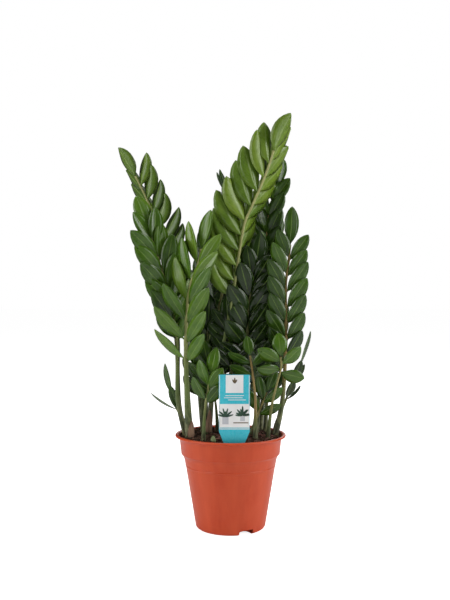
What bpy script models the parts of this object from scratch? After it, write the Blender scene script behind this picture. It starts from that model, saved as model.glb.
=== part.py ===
"""A ZZ plant in a grower's pot: pot, soil, rhizomes, fronds, sheaths, loose bits and a care label.

Metres, +Z up. The origin is the middle of the pot's foot, on the surface that the pot stands on, and -Y
is the side that carries the care label. Each frond is one grown piece, so it is one solid.
"""

import math
from itertools import product

import bmesh
import bpy
import numpy as np
from mathutils import Matrix, Vector
from mathutils.bvhtree import BVHTree

MM = 0.001

# ---------------------------------------------------------------- driving dimensions: the pot
POT_HEIGHT = 0.145
RIM_RADIUS = 0.086
BASE_RADIUS = 0.0545
WALL = 0.0018
COLLAR_HEIGHT = 0.046        # from the step up to the top of the rim
COLLAR_TOP_RADIUS = 0.0795
COLLAR_FOOT_RADIUS = 0.0705
BAND_HEIGHT = 0.030          # the collar's upright band, from its foot up to the top of the rim
BAND_FOOT_RADIUS = 0.0768
SHOULDER_BEND = (0.68, 0.40)  # where the shoulder under the band bends, as parts of its height and width
STEP_WIDTH = 0.0009          # how far the body sits inside the collar
STEP_HEIGHT = 0.003          # height over which it comes in
LIP_THICKNESS = 0.0035
LIP_WIDTH = 0.0052           # flat top of the rim, from its outer to its inner edge
LIP_FLARE = 0.004            # height over which the wall turns out into the lip
LIP_ROUND = 0.0008           # softening of the lip's edges
BASE_EDGE_RADIUS = 0.006
FLOOR_LIFT = 0.0085          # drainage floor above the surface that the pot stands on
FOOT_RADIUS = 0.018          # flat round foot in the middle of the floor
RING_WIDTH = 0.0045          # flat width of the standing ring
NOTCH_COUNT = 2
NOTCH_WIDTH = 0.023
NOTCH_HEIGHT = 0.0082
NOTCH_AZIMUTH = -64.0        # degrees, the first notch
NOTCH_REACH = 2 * (BASE_EDGE_RADIUS + RING_WIDTH) + 0.003
DRAIN_COUNT = 8
DRAIN_RADIUS = 0.004
POT_SEGMENTS = 48

# ---------------------------------------------------------------- driving dimensions: soil and label
SOIL_BELOW_RIM = 0.0055      # soil level at the wall, below the rim
SOIL_HEAP = 0.006            # how much higher the soil is in the middle
GAP = 0.0003                 # between pieces that touch
LABEL_WIDTH = 0.045
LABEL_HEIGHT = 0.101         # above the rim
LABEL_THICKNESS = 0.0008
LABEL_SHOULDER = 0.016       # height above the rim where it starts to narrow
LABEL_NECK_WIDTH = 0.032     # width at the rim
LABEL_STAKE = 0.042          # length below the rim
LABEL_CENTRE_X = 0.005
LABEL_LEAN = 8.0             # degrees, outwards
LABEL_WALL_GAP = 0.004       # behind the rim's inner edge

# ---------------------------------------------------------------- driving dimensions: the plant
PLANT_SCALE = 1.0            # stretches every stem above the soil
STEM_SCALE = 1.0             # thickness of every petiole and rachis
LEAFLET_SCALE = 1.0          # length and width of every leaflet
STEM_TAPER = 2.4             # how soon a petiole thins above its swollen foot
LEAFLET_THICKNESS = 0.0014
NODE_LENGTH = 0.004          # length of rachis that carries one leaflet
RHIZOME_COVER = 0.0175       # soil over the rhizomes' crowns
RHIZOME_DEPTH = 0.030
POCKET_GAP = 0.0004          # soil around what grows in it
FREE_GAP = 0.0005            # air kept between leaflets

# The places below are drawn for a pot whose soil has this radius, and move with the soil that there is.
DRAWN_SOIL_RADIUS = 0.0777

# Rhizome: centre x, y and half widths, in mm.
RHIZOMES = {
    "rhizome_left": (-50, 0, 15, 28),
    "rhizome_centre": (-20, -4, 12, 34),
    "rhizome_small": (-38, -45, 11, 11),
    "rhizome_back": (-8, 46, 29, 13),
    "rhizome_right": (50, 2, 15, 32),
    "rhizome_front_right": (23, -14, 11, 26),
}

# Frond: the stem's way in mm from the soil up, its radius at the foot and at the top in mm, the turn of
# its face to the right, the cup of its two rows and the twist of its leaflets in degrees, the share of
# the way that is bare, the pairs of leaflets, their length and width in mm, their angle to the stem low
# down and at the top, the length of the end leaflet, and the point on its rhizome that it grows from.
FRONDS = {
    "frond_right_tall": dict(
        way=[(-34, -2, 147), (-27, -6, 221), (-13, -12, 276), (4, -22, 368), (19, -32, 462), (31, -34, 494),
             (44, -36, 523), (56, -36, 553), (65, -36, 581)],
        foot=5.0, top=1.6, turn=-140, cup=40, twist=0, bare=0.48, pairs=10, leaf=(75, 32), spread=(46, 30),
        end=60, root=(-24, -3)),
    "frond_left_tall": dict(
        way=[(-69, 8, 143), (-80, 10, 183), (-83, 14, 239), (-83, 18, 298), (-93, 22, 377), (-107, 26, 444),
             (-122, 28, 489), (-140, 30, 529), (-152, 30, 553)],
        foot=4.8, top=1.5, turn=140, cup=40, twist=0, bare=0.42, pairs=10, leaf=(60, 26), spread=(42, 36),
        end=52, root=(-57, 7)),
    "frond_left_second": dict(
        way=[(-69, -8, 143), (-81, -16, 199), (-82, -22, 261), (-86, -28, 323), (-98, -34, 376),
             (-110, -40, 421), (-123, -44, 461)],
        foot=4.8, top=1.6, turn=24, cup=26, twist=0, bare=0.46, pairs=7, leaf=(62, 25), spread=(32, 22),
        end=54, root=(-57, -8)),
    "frond_front_pale": dict(
        way=[(-63, -25, 143), (-66, -30, 208), (-68, -36, 277), (-66, -42, 338), (-61, -46, 376),
             (-50, -50, 404), (-44, -52, 431)],
        foot=7.0, top=1.8, turn=-26, cup=24, twist=0, bare=0.40, pairs=6, leaf=(70, 21), spread=(46, 26),
        end=60, root=(-52, -20)),
    "frond_far_right": dict(
        way=[(69, -8, 143), (80, -10, 198), (85, -14, 276), (85, -18, 338), (85, -20, 381), (89, -22, 414),
             (91, -22, 439)],
        foot=5.0, top=1.7, turn=8, cup=24, twist=0, bare=0.42, pairs=7, leaf=(54, 21), spread=(36, 34),
        end=60, root=(58, -8)),
    "frond_right_second": dict(
        way=[(15, 30, 147), (33, 30, 209), (44, 28, 289), (52, 26, 369), (57, 24, 433), (61, 20, 488),
             (72, 16, 533)],
        foot=4.6, top=1.6, turn=-24, cup=22, twist=0, bare=0.38, pairs=9, leaf=(52, 23), spread=(40, 24),
        end=46, root=(11, 41)),
    "frond_centre_dark": dict(
        way=[(24, 5, 147), (26, 0, 228), (26, -6, 291), (27, -10, 338), (33, -14, 376), (38, -16, 405)],
        foot=4.6, top=1.6, turn=6, cup=20, twist=0, bare=0.40, pairs=6, leaf=(58, 27), spread=(44, 26),
        end=54, root=(22, -1)),
    "frond_edgewise": dict(
        way=[(-39, 25, 146), (-39, 25, 241), (-31, 26, 297), (-18, 28, 345), (-7, 30, 393), (3, 32, 441),
             (9, 32, 489), (8, 30, 529)],
        foot=4.4, top=1.5, turn=-84, cup=52, twist=44, bare=0.42, pairs=8, leaf=(76, 19), spread=(48, 36),
        end=50, root=(-22, 20)),
    "frond_centre_low": dict(
        way=[(37, -42, 143), (37, -43, 202), (33, -45, 242), (29, -46, 269)],
        foot=4.4, top=1.3, turn=0, cup=16, twist=0, bare=0.72, pairs=2, leaf=(38, 15), spread=(62, 54),
        end=30, root=(26, -30)),
    "frond_right_low": dict(
        way=[(56, -34, 143), (62, -38, 194), (71, -42, 233), (76, -44, 254), (75, -46, 269)],
        foot=3.8, top=1.4, turn=8, cup=12, twist=-10, bare=0.80, pairs=2, leaf=(40, 21), spread=(96, 54),
        end=36, root=(49, -20)),
    "frond_front_low": dict(
        way=[(-41, -50, 144), (-39, -53, 186), (-35, -55, 216), (-30, -55, 243)],
        foot=3.8, top=1.3, turn=-14, cup=18, twist=0, bare=0.56, pairs=2, leaf=(40, 18), spread=(38, 30),
        end=42, root=(-37, -44)),
    "frond_far_right_thin": dict(
        way=[(67, 14, 143), (84, 17, 187), (96, 19, 217), (107, 20, 245)],
        foot=3.2, top=1.2, turn=70, cup=20, twist=30, bare=0.50, pairs=2, leaf=(42, 13), spread=(44, 30),
        end=64, root=(56, 13)),
    "frond_left_low": dict(
        way=[(-60, 30, 143), (-80, 34, 170), (-90, 36, 187), (-94, 37, 202)],
        foot=3.6, top=1.3, turn=-40, cup=24, twist=30, bare=0.55, pairs=1, leaf=(50, 13), spread=(32, 32),
        end=52, root=(-51, 19)),
    "frond_mid_low": dict(
        way=[(-20, 10, 146), (-23, 8, 188), (-29, 4, 228), (-34, 0, 250)],
        foot=3.6, top=1.3, turn=-6, cup=18, twist=0, bare=0.52, pairs=3, leaf=(48, 20), spread=(44, 28),
        end=44, root=(-18, 3)),
    "frond_right_mid": dict(
        way=[(55, 14, 144), (58, 12, 211), (60, 6, 275), (65, 2, 325)],
        foot=4.0, top=1.4, turn=-12, cup=20, twist=0, bare=0.36, pairs=5, leaf=(50, 19), spread=(44, 28),
        end=48, root=(46, 8)),
    "frond_back_low": dict(
        way=[(-6, 33, 148), (-10, 36, 216), (-17, 40, 272), (-20, 42, 313)],
        foot=4.0, top=1.4, turn=14, cup=20, twist=0, bare=0.40, pairs=5, leaf=(50, 20), spread=(46, 30),
        end=46, root=(-8, 40)),
    "frond_front_right_low": dict(
        way=[(29, -21, 145), (44, -25, 184), (55, -27, 212)],
        foot=3.4, top=1.2, turn=10, cup=18, twist=0, bare=0.48, pairs=2, leaf=(40, 16), spread=(50, 34),
        end=40, root=(22, -18)),
    "frond_inner_left": dict(
        way=[(-44, 11, 146), (-43, 9, 205), (-39, 8, 262), (-35, 6, 318)],
        foot=3.8, top=1.4, turn=10, cup=20, twist=0, bare=0.30, pairs=6, leaf=(50, 20), spread=(46, 30),
        end=46, root=(-44, 6)),
    "frond_inner_centre": dict(
        way=[(6, -10, 148), (4, -8, 205), (0, -4, 262), (-4, 2, 318)],
        foot=3.8, top=1.4, turn=-8, cup=20, twist=0, bare=0.34, pairs=6, leaf=(48, 20), spread=(46, 30),
        end=46, root=(15, -11)),
    "frond_inner_right": dict(
        way=[(41, -6, 146), (44, -4, 205), (42, 2, 262), (38, 8, 318)],
        foot=3.8, top=1.4, turn=14, cup=20, twist=0, bare=0.30, pairs=6, leaf=(48, 20), spread=(46, 30),
        end=46, root=(42, -5)),
    "frond_back_left": dict(
        way=[(-44, 46, 144), (-51, 54, 223), (-50, 66, 304), (-42, 80, 378), (-34, 94, 446)],
        foot=4.8, top=1.6, turn=150, cup=20, twist=0, bare=0.38, pairs=8, leaf=(62, 24), spread=(44, 28),
        end=52, root=(-26, 46)),
    "frond_back_right": dict(
        way=[(48, 36, 145), (55, 46, 223), (57, 60, 304), (59, 76, 386), (67, 92, 467)],
        foot=4.8, top=1.6, turn=-160, cup=20, twist=0, bare=0.38, pairs=8, leaf=(60, 23), spread=(44, 28),
        end=52, root=(49, 24)),
    "frond_back_centre": dict(
        way=[(3, 52, 146), (1, 64, 238), (3, 80, 336), (8, 98, 429), (15, 112, 498)],
        foot=4.8, top=1.6, turn=176, cup=20, twist=0, bare=0.38, pairs=9, leaf=(62, 24), spread=(44, 28),
        end=54, root=(-1, 47)),
}

# The ways a leaflet may settle beside its neighbours, the straightest first: share of its length, lift
# towards the frond's face, swing away from the stem, and roll about its own midrib, in degrees.
SETTLE_LENGTH = (1.0, 0.92, 0.84, 0.74, 0.62, 0.5, 0.38, 0.28)
SETTLE_LIFT = (0, 12, -12, 24, -24, 38, 54)
SETTLE_SWING = (0, 10, -8, 22, 36)
SETTLE_ROLL = (32, 48, 18, 64, 4)

# Leaflet sections from the stalk to the tip: share of the length, share of the half width.
LEAF_SECTIONS = ((0.12, 0.38), (0.40, 0.98), (0.76, 0.84))
LEAF_FOLD = 0.16             # how far the margins stand above the midrib, as a share of the half width
LEAF_BEND = 0.10             # how far the tip curls back, as a share of the length


def clear_scene():
    for obj in list(bpy.data.objects):
        bpy.data.objects.remove(obj, do_unlink=True)


def material(name, colour, roughness, metallic=0.0):
    mat = bpy.data.materials.new(name)
    mat.use_nodes = True
    shader = mat.node_tree.nodes["Principled BSDF"]
    shader.inputs["Base Color"].default_value = (*colour, 1.0)
    shader.inputs["Roughness"].default_value = roughness
    shader.inputs["Metallic"].default_value = metallic
    return mat


def add_object(name, bm, mat, smooth_angle=None):
    bmesh.ops.recalc_face_normals(bm, faces=bm.faces)
    mesh = bpy.data.meshes.new(name)
    bm.to_mesh(mesh)
    bm.free()
    mesh.materials.append(mat)
    if smooth_angle:
        mesh.shade_smooth()
        mesh.set_sharp_from_angle(angle=math.radians(smooth_angle))
    obj = bpy.data.objects.new(name, mesh)
    bpy.context.scene.collection.objects.link(obj)
    return obj


def hide_cutter(obj):
    obj.hide_render = True
    obj.display_type = "WIRE"


def cut(obj, cutter, name):
    hide_cutter(cutter)
    mod = obj.modifiers.new(name, "BOOLEAN")
    mod.operation = "DIFFERENCE"
    mod.solver = "EXACT"
    mod.object = cutter


# ---------------------------------------------------------------- turned shapes
def turned(profile, segments):
    """A solid of revolution about Z. The profile runs from the axis round to the axis again."""
    bm = bmesh.new()
    rings = []
    for radius, height in profile:
        if radius < 1e-6:
            rings.append([bm.verts.new((0, 0, height))])
            continue
        angles = [2 * math.pi * k / segments for k in range(segments)]
        rings.append([bm.verts.new((radius * math.cos(a), radius * math.sin(a), height)) for a in angles])
    for low, high in zip(rings, rings[1:]):
        for k in range(segments):
            after = (k + 1) % segments
            corners = [low[k % len(low)], low[after % len(low)], high[after % len(high)], high[k % len(high)]]
            bm.faces.new(list(dict.fromkeys(corners)))
    return bm


def pot_outline():
    """The outer side of the wall, from the standing ring up to the rim, as (radius, height)."""
    step = POT_HEIGHT - COLLAR_HEIGHT
    band = POT_HEIGHT - BAND_HEIGHT
    shoulder = BAND_FOOT_RADIUS - COLLAR_FOOT_RADIUS
    bend_height, bend_width = SHOULDER_BEND
    arc = [
        (BASE_RADIUS - BASE_EDGE_RADIUS * (1 - math.sin(a)), BASE_EDGE_RADIUS * (1 - math.cos(a)))
        for a in (math.radians(d) for d in (0, 35, 65, 90))
    ]
    return arc + [
        (COLLAR_FOOT_RADIUS - STEP_WIDTH, step - STEP_HEIGHT),
        (COLLAR_FOOT_RADIUS, step),
        (COLLAR_FOOT_RADIUS + shoulder * bend_width, step + (band - step) * bend_height),
        (BAND_FOOT_RADIUS, band),
        (COLLAR_TOP_RADIUS, POT_HEIGHT - LIP_THICKNESS - LIP_FLARE),
    ]


def wall_radius(height):
    """The outer radius of the wall at a height."""
    line = [(h, r) for r, h in pot_outline()]
    return float(np.interp(height, [h for h, _ in line], [r for _, r in line]))


def floor_outline(lift):
    """The floor from the standing ring in to the foot, moved up by lift, as (radius, height)."""
    ring = BASE_RADIUS - BASE_EDGE_RADIUS - RING_WIDTH
    return [
        (ring, lift),
        (ring - FLOOR_LIFT * 0.5, FLOOR_LIFT + lift),
        (FOOT_RADIUS + FLOOR_LIFT, FLOOR_LIFT + lift),
        (FOOT_RADIUS, lift),
    ]


def inside_profile(shrink, top):
    """The pot's inner surface drawn in by shrink, from the middle of the floor up to the height top."""
    lift = WALL + shrink
    floor = FLOOR_LIFT + lift
    side = [(r - WALL - shrink, h) for r, h in pot_outline() if floor < h < top - WALL]
    return (
        [(0.0, lift), (FOOT_RADIUS, lift), (FOOT_RADIUS + FLOOR_LIFT, floor)]
        + [(wall_radius(floor) - WALL - shrink, floor)]
        + side
        + [(wall_radius(top) - WALL - shrink, top)]
    )


def build_pot(mat):
    lip_under = POT_HEIGHT - LIP_THICKNESS
    inner_rim = RIM_RADIUS - LIP_WIDTH
    outside = [(0.0, 0.0)] + list(reversed(floor_outline(0.0))) + pot_outline()
    lip = [
        (COLLAR_TOP_RADIUS + LIP_ROUND, lip_under - LIP_ROUND),
        (RIM_RADIUS - LIP_ROUND, lip_under + LIP_ROUND / 2),
        (RIM_RADIUS, lip_under + 2 * LIP_ROUND),
        (RIM_RADIUS - LIP_ROUND, POT_HEIGHT - LIP_ROUND / 2),
        (RIM_RADIUS - 2 * LIP_ROUND, POT_HEIGHT),
        (inner_rim, POT_HEIGHT - LIP_ROUND),
    ]
    inside = inside_profile(0.0, lip_under - LIP_FLARE)
    pot = add_object("nursery_pot", turned(outside + lip + list(reversed(inside)), POT_SEGMENTS), mat, 40)

    notches = bmesh.new()
    for k in range(NOTCH_COUNT):
        angle = math.radians(NOTCH_AZIMUTH + 360.0 * k / NOTCH_COUNT)
        place = Matrix.Rotation(angle, 4, "Z") @ Matrix.Translation((BASE_RADIUS, 0, 0))
        size = Matrix.Diagonal((NOTCH_REACH, NOTCH_WIDTH, 2 * NOTCH_HEIGHT, 1))
        bmesh.ops.create_cube(notches, size=1.0, matrix=place @ size)
    cut(pot, add_object("notch_cutter", notches, mat), "drainage notches")

    drains = bmesh.new()
    reach = (FOOT_RADIUS + BASE_RADIUS - BASE_EDGE_RADIUS - RING_WIDTH) / 2
    for k in range(DRAIN_COUNT):
        angle = 2 * math.pi * (k + 0.5) / DRAIN_COUNT
        place = Matrix.Translation((reach * math.cos(angle), reach * math.sin(angle), FLOOR_LIFT + WALL / 2))
        bmesh.ops.create_cone(drains, cap_ends=True, segments=12, radius1=DRAIN_RADIUS, radius2=DRAIN_RADIUS,
                              depth=3 * WALL, matrix=place)
    cut(pot, add_object("drain_cutter", drains, mat), "drain holes")
    return pot


# ---------------------------------------------------------------- soil
SOIL_EDGE = POT_HEIGHT - SOIL_BELOW_RIM
SOIL_RADIUS = wall_radius(SOIL_EDGE) - WALL
RHIZOME_TOP = SOIL_EDGE - RHIZOME_COVER


def planted(x, y):
    """A place in the soil, in metres, from one drawn in mm."""
    scale = MM * SOIL_RADIUS / DRAWN_SOIL_RADIUS
    return x * scale, y * scale


def soil_height(x, y):
    """Height of the soil surface."""
    share = min(math.hypot(x, y) / SOIL_RADIUS, 1.0)
    return SOIL_EDGE + SOIL_HEAP * (1.0 - share ** 3)


def build_soil(mat):
    shell = inside_profile(GAP, SOIL_EDGE)
    outer = shell[-1][0]
    top = [(outer * s, soil_height(outer * s, 0.0)) for s in (0.85, 0.6, 0.3)]
    return add_object("potting_soil", turned(shell + top + [(0.0, soil_height(0, 0))], POT_SEGMENTS), mat, 40)


# ---------------------------------------------------------------- rhizomes
def rhizome_solid(centre, half, grow):
    """A flattened potato shape with a broad level crown, larger by grow all round."""
    rx, ry = half[0] + grow, half[1] + grow
    deep = RHIZOME_DEPTH / 2 + grow
    profile = [(0.0, -1.0), (0.5, -0.92), (0.86, -0.5), (1.0, 0.0), (0.97, 0.55), (0.88, 1.0), (0.0, 1.0)]
    bm = turned(profile, 14)
    place = Matrix.Translation((centre[0], centre[1], RHIZOME_TOP - RHIZOME_DEPTH / 2))
    bm.transform(place @ Matrix.Diagonal((rx, ry, deep, 1)))
    return bm


# ---------------------------------------------------------------- stems
def smooth_way(points, samples):
    """Points at even steps along a smooth curve through the given points."""
    p = np.array(points, float)
    p = np.vstack([2 * p[0] - p[1], p, 2 * p[-1] - p[-2]])
    fine = []
    for i in range(1, len(p) - 2):
        for t in np.linspace(0, 1, 24, endpoint=False):
            a, b, c, d = p[i - 1:i + 3]
            fine.append(0.5 * (2 * b + (c - a) * t + (2 * a - 5 * b + 4 * c - d) * t**2
                               + (3 * b - a - 3 * c + d) * t**3))
    fine = np.array(fine + [p[-2]])
    run = np.concatenate([[0], np.cumsum(np.linalg.norm(np.diff(fine, axis=0), axis=1))])
    return np.array([[np.interp(s, run, fine[:, k]) for k in range(3)] for s in samples * run[-1]]), run[-1]


class Stem:
    """The way of one frond's petiole and rachis, with its thickness and its three directions."""

    def __init__(self, frond):
        drawn = np.array(frond["way"]) * MM
        x, y = planted(*frond["way"][0][:2])
        foot = np.array((x, y, soil_height(x, y)))
        self.points = [tuple(foot + (point - drawn[0]) * PLANT_SCALE) for point in drawn]
        self.root = (*planted(*frond["root"]), RHIZOME_TOP + POCKET_GAP)
        self.turn = math.radians(frond["turn"])
        self.foot = frond["foot"] * MM * STEM_SCALE
        self.top = frond["top"] * MM * STEM_SCALE
        _, self.length = smooth_way(self.points, np.array([0.0, 1.0]))

    def at(self, share):
        """Point, direction and radius at a share of the length above the soil."""
        step = 0.01
        low, high = max(share - step, 0.0), min(share + step, 1.0)
        (here, before, after), _ = smooth_way(self.points, np.array([share, low, high]))
        along = Vector(after - before).normalized()
        radius = self.top + (self.foot - self.top) * (1 - share) ** STEM_TAPER
        return Vector(here), along, radius

    def axes(self, along):
        """The side and face directions of the frond where the stem runs along the given direction."""
        looking = Vector((math.sin(self.turn), -math.cos(self.turn), 0.0))
        side = along.cross(looking).normalized()
        return side, side.cross(along).normalized()


def stem_section(point, side, face, radius):
    """Six corners round the stem, flat towards both sides."""
    angles = [math.radians(30 + 60 * k) for k in range(6)]
    return [point + side * (radius * math.cos(a)) + face * (radius * math.sin(a)) for a in angles]


# ---------------------------------------------------------------- leaflets
class Leaflet:
    """One leaflet's pose, and its corners section by section."""

    def __init__(self, base, along, side, face, hand, spread, cup, length, width, settle):
        share, lift, swing, roll = settle
        sideways = side * hand
        tilt = math.radians(cup + lift)
        across = sideways * math.cos(tilt) + face * math.sin(tilt)
        angle = math.radians(spread + swing)
        self.base = base
        self.direction = (along * math.cos(angle) + across * math.sin(angle)).normalized()
        flat = (along * math.sin(angle) - across * math.cos(angle)).normalized()
        normal = self.direction.cross(flat).normalized()
        if normal.dot(face) < 0:
            normal.negate()
        turn = math.radians(roll)
        self.inner = flat * math.cos(turn) + normal * math.sin(turn)
        self.normal = normal * math.cos(turn) - flat * math.sin(turn)
        self.length = length * share
        self.width = width * share

    def section(self, share, wide, grow=0.0):
        """Outer margin, front of the midrib, inner margin and back of the midrib."""
        middle = self.base + self.direction * (self.length * share)
        middle = middle - self.normal * (LEAF_BEND * self.length * share**2)
        half = wide * self.width / 2 + grow
        thick = LEAFLET_THICKNESS / 2 + grow
        fold = self.normal * (LEAF_FOLD * half)
        return [
            middle - self.inner * half + fold,
            middle + self.normal * thick,
            middle + self.inner * half + fold,
            middle - self.normal * thick,
        ]

    def tip(self, grow=0.0):
        reach = self.length + grow
        return self.base + self.direction * reach - self.normal * (LEAF_BEND * self.length)

    def hull(self, first, grow):
        """A closed tree for finding out what the leaflet would touch."""
        sections = [self.section(*s, grow) for s in LEAF_SECTIONS[first:]]
        if first == 0:
            sections.insert(0, self.section(0.0, NODE_LENGTH / self.width, grow))
        corners = [c for section in sections for c in section] + [self.tip(grow)]
        faces = [(0, 1, 2, 3)]
        for k in range(len(sections) - 1):
            for j in range(4):
                a, b = 4 * k + j, 4 * k + (j + 1) % 4
                faces.append((a, b, b + 4, a + 4))
        last = 4 * (len(sections) - 1)
        faces += [(last + j, last + (j + 1) % 4, len(corners) - 1) for j in range(4)]
        return corners, faces


class Crowd:
    """What is already in place, for leaflets to keep clear of."""

    def __init__(self):
        self.things = []

    def add(self, corners, faces, owner=None):
        points = np.array([tuple(c) for c in corners])
        tree = BVHTree.FromPolygons([tuple(c) for c in corners], faces)
        self.things.append((points.min(0), points.max(0), tree, owner))

    def add_bmesh(self, bm):
        bm.verts.ensure_lookup_table()
        bm.verts.index_update()
        self.add([v.co for v in bm.verts], [tuple(v.index for v in f.verts) for f in bm.faces])

    def free(self, corners, faces, leave_out=None):
        points = np.array([tuple(c) for c in corners])
        low, high = points.min(0), points.max(0)
        tree = None
        for lo, hi, other, owner in self.things:
            if owner is not None and owner == leave_out:
                continue
            if (lo > high).any() or (hi < low).any():
                continue
            tree = tree or BVHTree.FromPolygons([tuple(c) for c in corners], faces)
            if tree.overlap(other):
                return False
        return True


def ways_to_settle():
    """Every pose a leaflet may try, in the order it tries them."""
    tries = list(product(SETTLE_LIFT, SETTLE_SWING, SETTLE_ROLL))
    tries.sort(key=lambda t: abs(t[0]) + abs(t[1]) + abs(t[2] - SETTLE_ROLL[0]))
    return [(length, *turns) for length in SETTLE_LENGTH for turns in tries]


def settle(crowd, owner, make, poses):
    """The first pose of a leaflet that touches nothing in the crowd."""
    for pose in poses:
        leaf = make(pose)
        if not crowd.free(*leaf.hull(0, FREE_GAP), leave_out=owner):
            continue
        if crowd.free(*leaf.hull(1, FREE_GAP)):
            crowd.add(*leaf.hull(0, 0.0))
            return leaf
    raise RuntimeError(f"a leaflet of {owner} found no free place")


# ---------------------------------------------------------------- fronds
class Frond:
    """One frond: its stem, the places of its leaflets, and the leaflets once they have settled."""

    def __init__(self, name, values):
        self.name = name
        self.values = values
        self.stem = Stem(values)
        self.rings = self.stem_rings()
        self.leaves = {}
        self.end = None

    def pair_share(self, i):
        bare = self.values["bare"]
        return bare + (1.0 - bare) * i / self.values["pairs"]

    def stem_rings(self):
        """Sections up the stem as (point, side, face, radius), three of them for each pair of leaflets."""
        node = NODE_LENGTH / self.stem.length
        shares = list(np.linspace(0.0, self.pair_share(0), 6, endpoint=False))
        for i in range(self.values["pairs"]):
            shares += [self.pair_share(i) + node * k for k in range(3)]
        self.first_node = 1 + len(shares) - 3 * self.values["pairs"]
        shares.append(1.0)
        rings = []
        for share in shares:
            point, along, radius = self.stem.at(share)
            rings.append((point, *self.stem.axes(along), radius))
        side, face = self.stem.axes(Vector((0, 0, 1)))
        rings.insert(0, (Vector(self.stem.root), side, face, self.stem.foot * 0.8))
        return rings

    def crowd_tube(self):
        corners = [c for ring in self.rings for c in stem_section(*ring)]
        faces = [tuple(range(6)), tuple(range(len(corners) - 6, len(corners)))]
        for j in range(len(self.rings) - 1):
            for k in range(6):
                a, b = 6 * j + k, 6 * j + (k + 1) % 6
                faces.append((a, b, b + 6, a + 6))
        return corners, faces

    def settle_end(self, crowd, poses):
        point, along, _ = self.stem.at(1.0)
        side, face = self.stem.axes(along)
        length = self.values["end"] * MM * LEAFLET_SCALE
        width = self.values["leaf"][1] * MM * LEAFLET_SCALE

        def make(pose):
            share, lift, swing, roll = pose
            flat_pose = (share, lift, swing, roll - SETTLE_ROLL[0])
            return Leaflet(point, along, side, face, 1, 0, 0, length, width, flat_pose)

        self.end = settle(crowd, self.name, make, poses)

    def settle_pair(self, i, crowd, poses):
        low, top = self.values["spread"]
        count = self.values["pairs"]
        rise = i / max(count - 1, 1)
        swell = 0.84 + 0.16 * math.sin(math.pi * (i + 0.8) / (count + 0.6))
        for hand in (1, -1):
            ring = self.rings[self.first_node + 3 * i + (hand < 0)]
            above = self.rings[self.first_node + 3 * i + (hand < 0) + 1]
            point, side, face, radius = ring
            middle = (point + above[0]) / 2 + side * (hand * radius * math.cos(math.radians(30)))
            along = (above[0] - point).normalized()
            vary = ((2 * i + (hand < 0)) * 0.618) % 1.0 - 0.5
            length = self.values["leaf"][0] * MM * LEAFLET_SCALE * swell * (1 + 0.12 * vary)
            width = self.values["leaf"][1] * MM * LEAFLET_SCALE * swell
            spread = low + (top - low) * rise + 7 * vary

            def make(pose):
                share, lift, swing, roll = pose
                pose = (share, lift, swing, roll + self.values["twist"])
                cup = self.values["cup"]
                return Leaflet(middle, along, side, face, hand, spread, cup, length, width, pose)

            self.leaves[i, hand] = settle(crowd, self.name, make, poses)


def extrude_cap(bm, cap, corners):
    """Draw a face out to new corners, which come in the order of the face's own."""
    cap = bmesh.ops.extrude_discrete_faces(bm, faces=[cap])["faces"][0]
    for vert, corner in zip(cap.verts, corners):
        vert.co = corner
    return cap


def close_tip(bm, cap, tip):
    cap = extrude_cap(bm, cap, [tip] * len(cap.verts))
    bmesh.ops.pointmerge(bm, verts=list(cap.verts), merge_co=tip)


def build_frond(frond, mat):
    bm = bmesh.new()
    foot = [bm.verts.new(c) for c in stem_section(*frond.rings[0])]
    cap = bm.faces.new(foot)
    rows = [foot]
    for ring in frond.rings[1:]:
        cap = extrude_cap(bm, cap, stem_section(*ring))
        rows.append(list(cap.verts))
    bm.faces.new(reversed(foot))

    for share, wide in LEAF_SECTIONS:
        outer, front, inner, back = frond.end.section(share, wide)
        edge = frond.end.normal * (LEAFLET_THICKNESS * 0.2)
        cap = extrude_cap(bm, cap, [outer + edge, front, inner + edge, inner - edge, back, outer - edge])
    close_tip(bm, cap, frond.end.tip())

    for (i, hand), leaf in frond.leaves.items():
        row = frond.first_node + 3 * i + (hand < 0)
        low, high = rows[row], rows[row + 1]
        back, front = (5, 0) if hand > 0 else (3, 2)
        corners = [low[back], low[front], high[front], high[back]]
        cap = bm.faces.get(corners)
        order = [corners.index(v) for v in cap.verts]
        for share, wide in LEAF_SECTIONS:
            section = leaf.section(share, wide)
            cap = extrude_cap(bm, cap, [section[k] for k in order])
        close_tip(bm, cap, leaf.tip())
    return add_object(frond.name, bm, mat, 50)


def stem_pocket(frond, grow):
    """The room in the soil for a petiole: its own shape grown, from its rhizome to above the soil."""
    root, soil_ring = frond.rings[:2]
    low = (root[0] - Vector((0, 0, 3 * POCKET_GAP)), *root[1:])
    point, along, radius = frond.stem.at(0.0)
    high = (point + along * 0.012, *frond.stem.axes(along), radius)
    bm = bmesh.new()
    first = [bm.verts.new(c) for c in stem_section(*low[:3], low[3] + grow)]
    cap = bm.faces.new(first)
    for ring in (root, soil_ring, high):
        cap = extrude_cap(bm, cap, stem_section(*ring[:3], ring[3] + grow))
    bm.faces.new(reversed(first))
    bmesh.ops.recalc_face_normals(bm, faces=bm.faces)
    return bm


# ---------------------------------------------------------------- sheaths, shoot and loose bits
# Sheath rows: share of the height, half of the angle that it covers in degrees.
SHEATH_ROWS = ((0.0, 62), (0.35, 60), (0.7, 40), (1.0, 8))
SHEATH_LIFT = 0.0024         # above the soil
SHEATH_GAP = 0.0007          # off the petiole
SHEATH_FLARE = 0.0012        # how much further off at the top
SHEATH_THICKNESS = 0.0009


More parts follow.
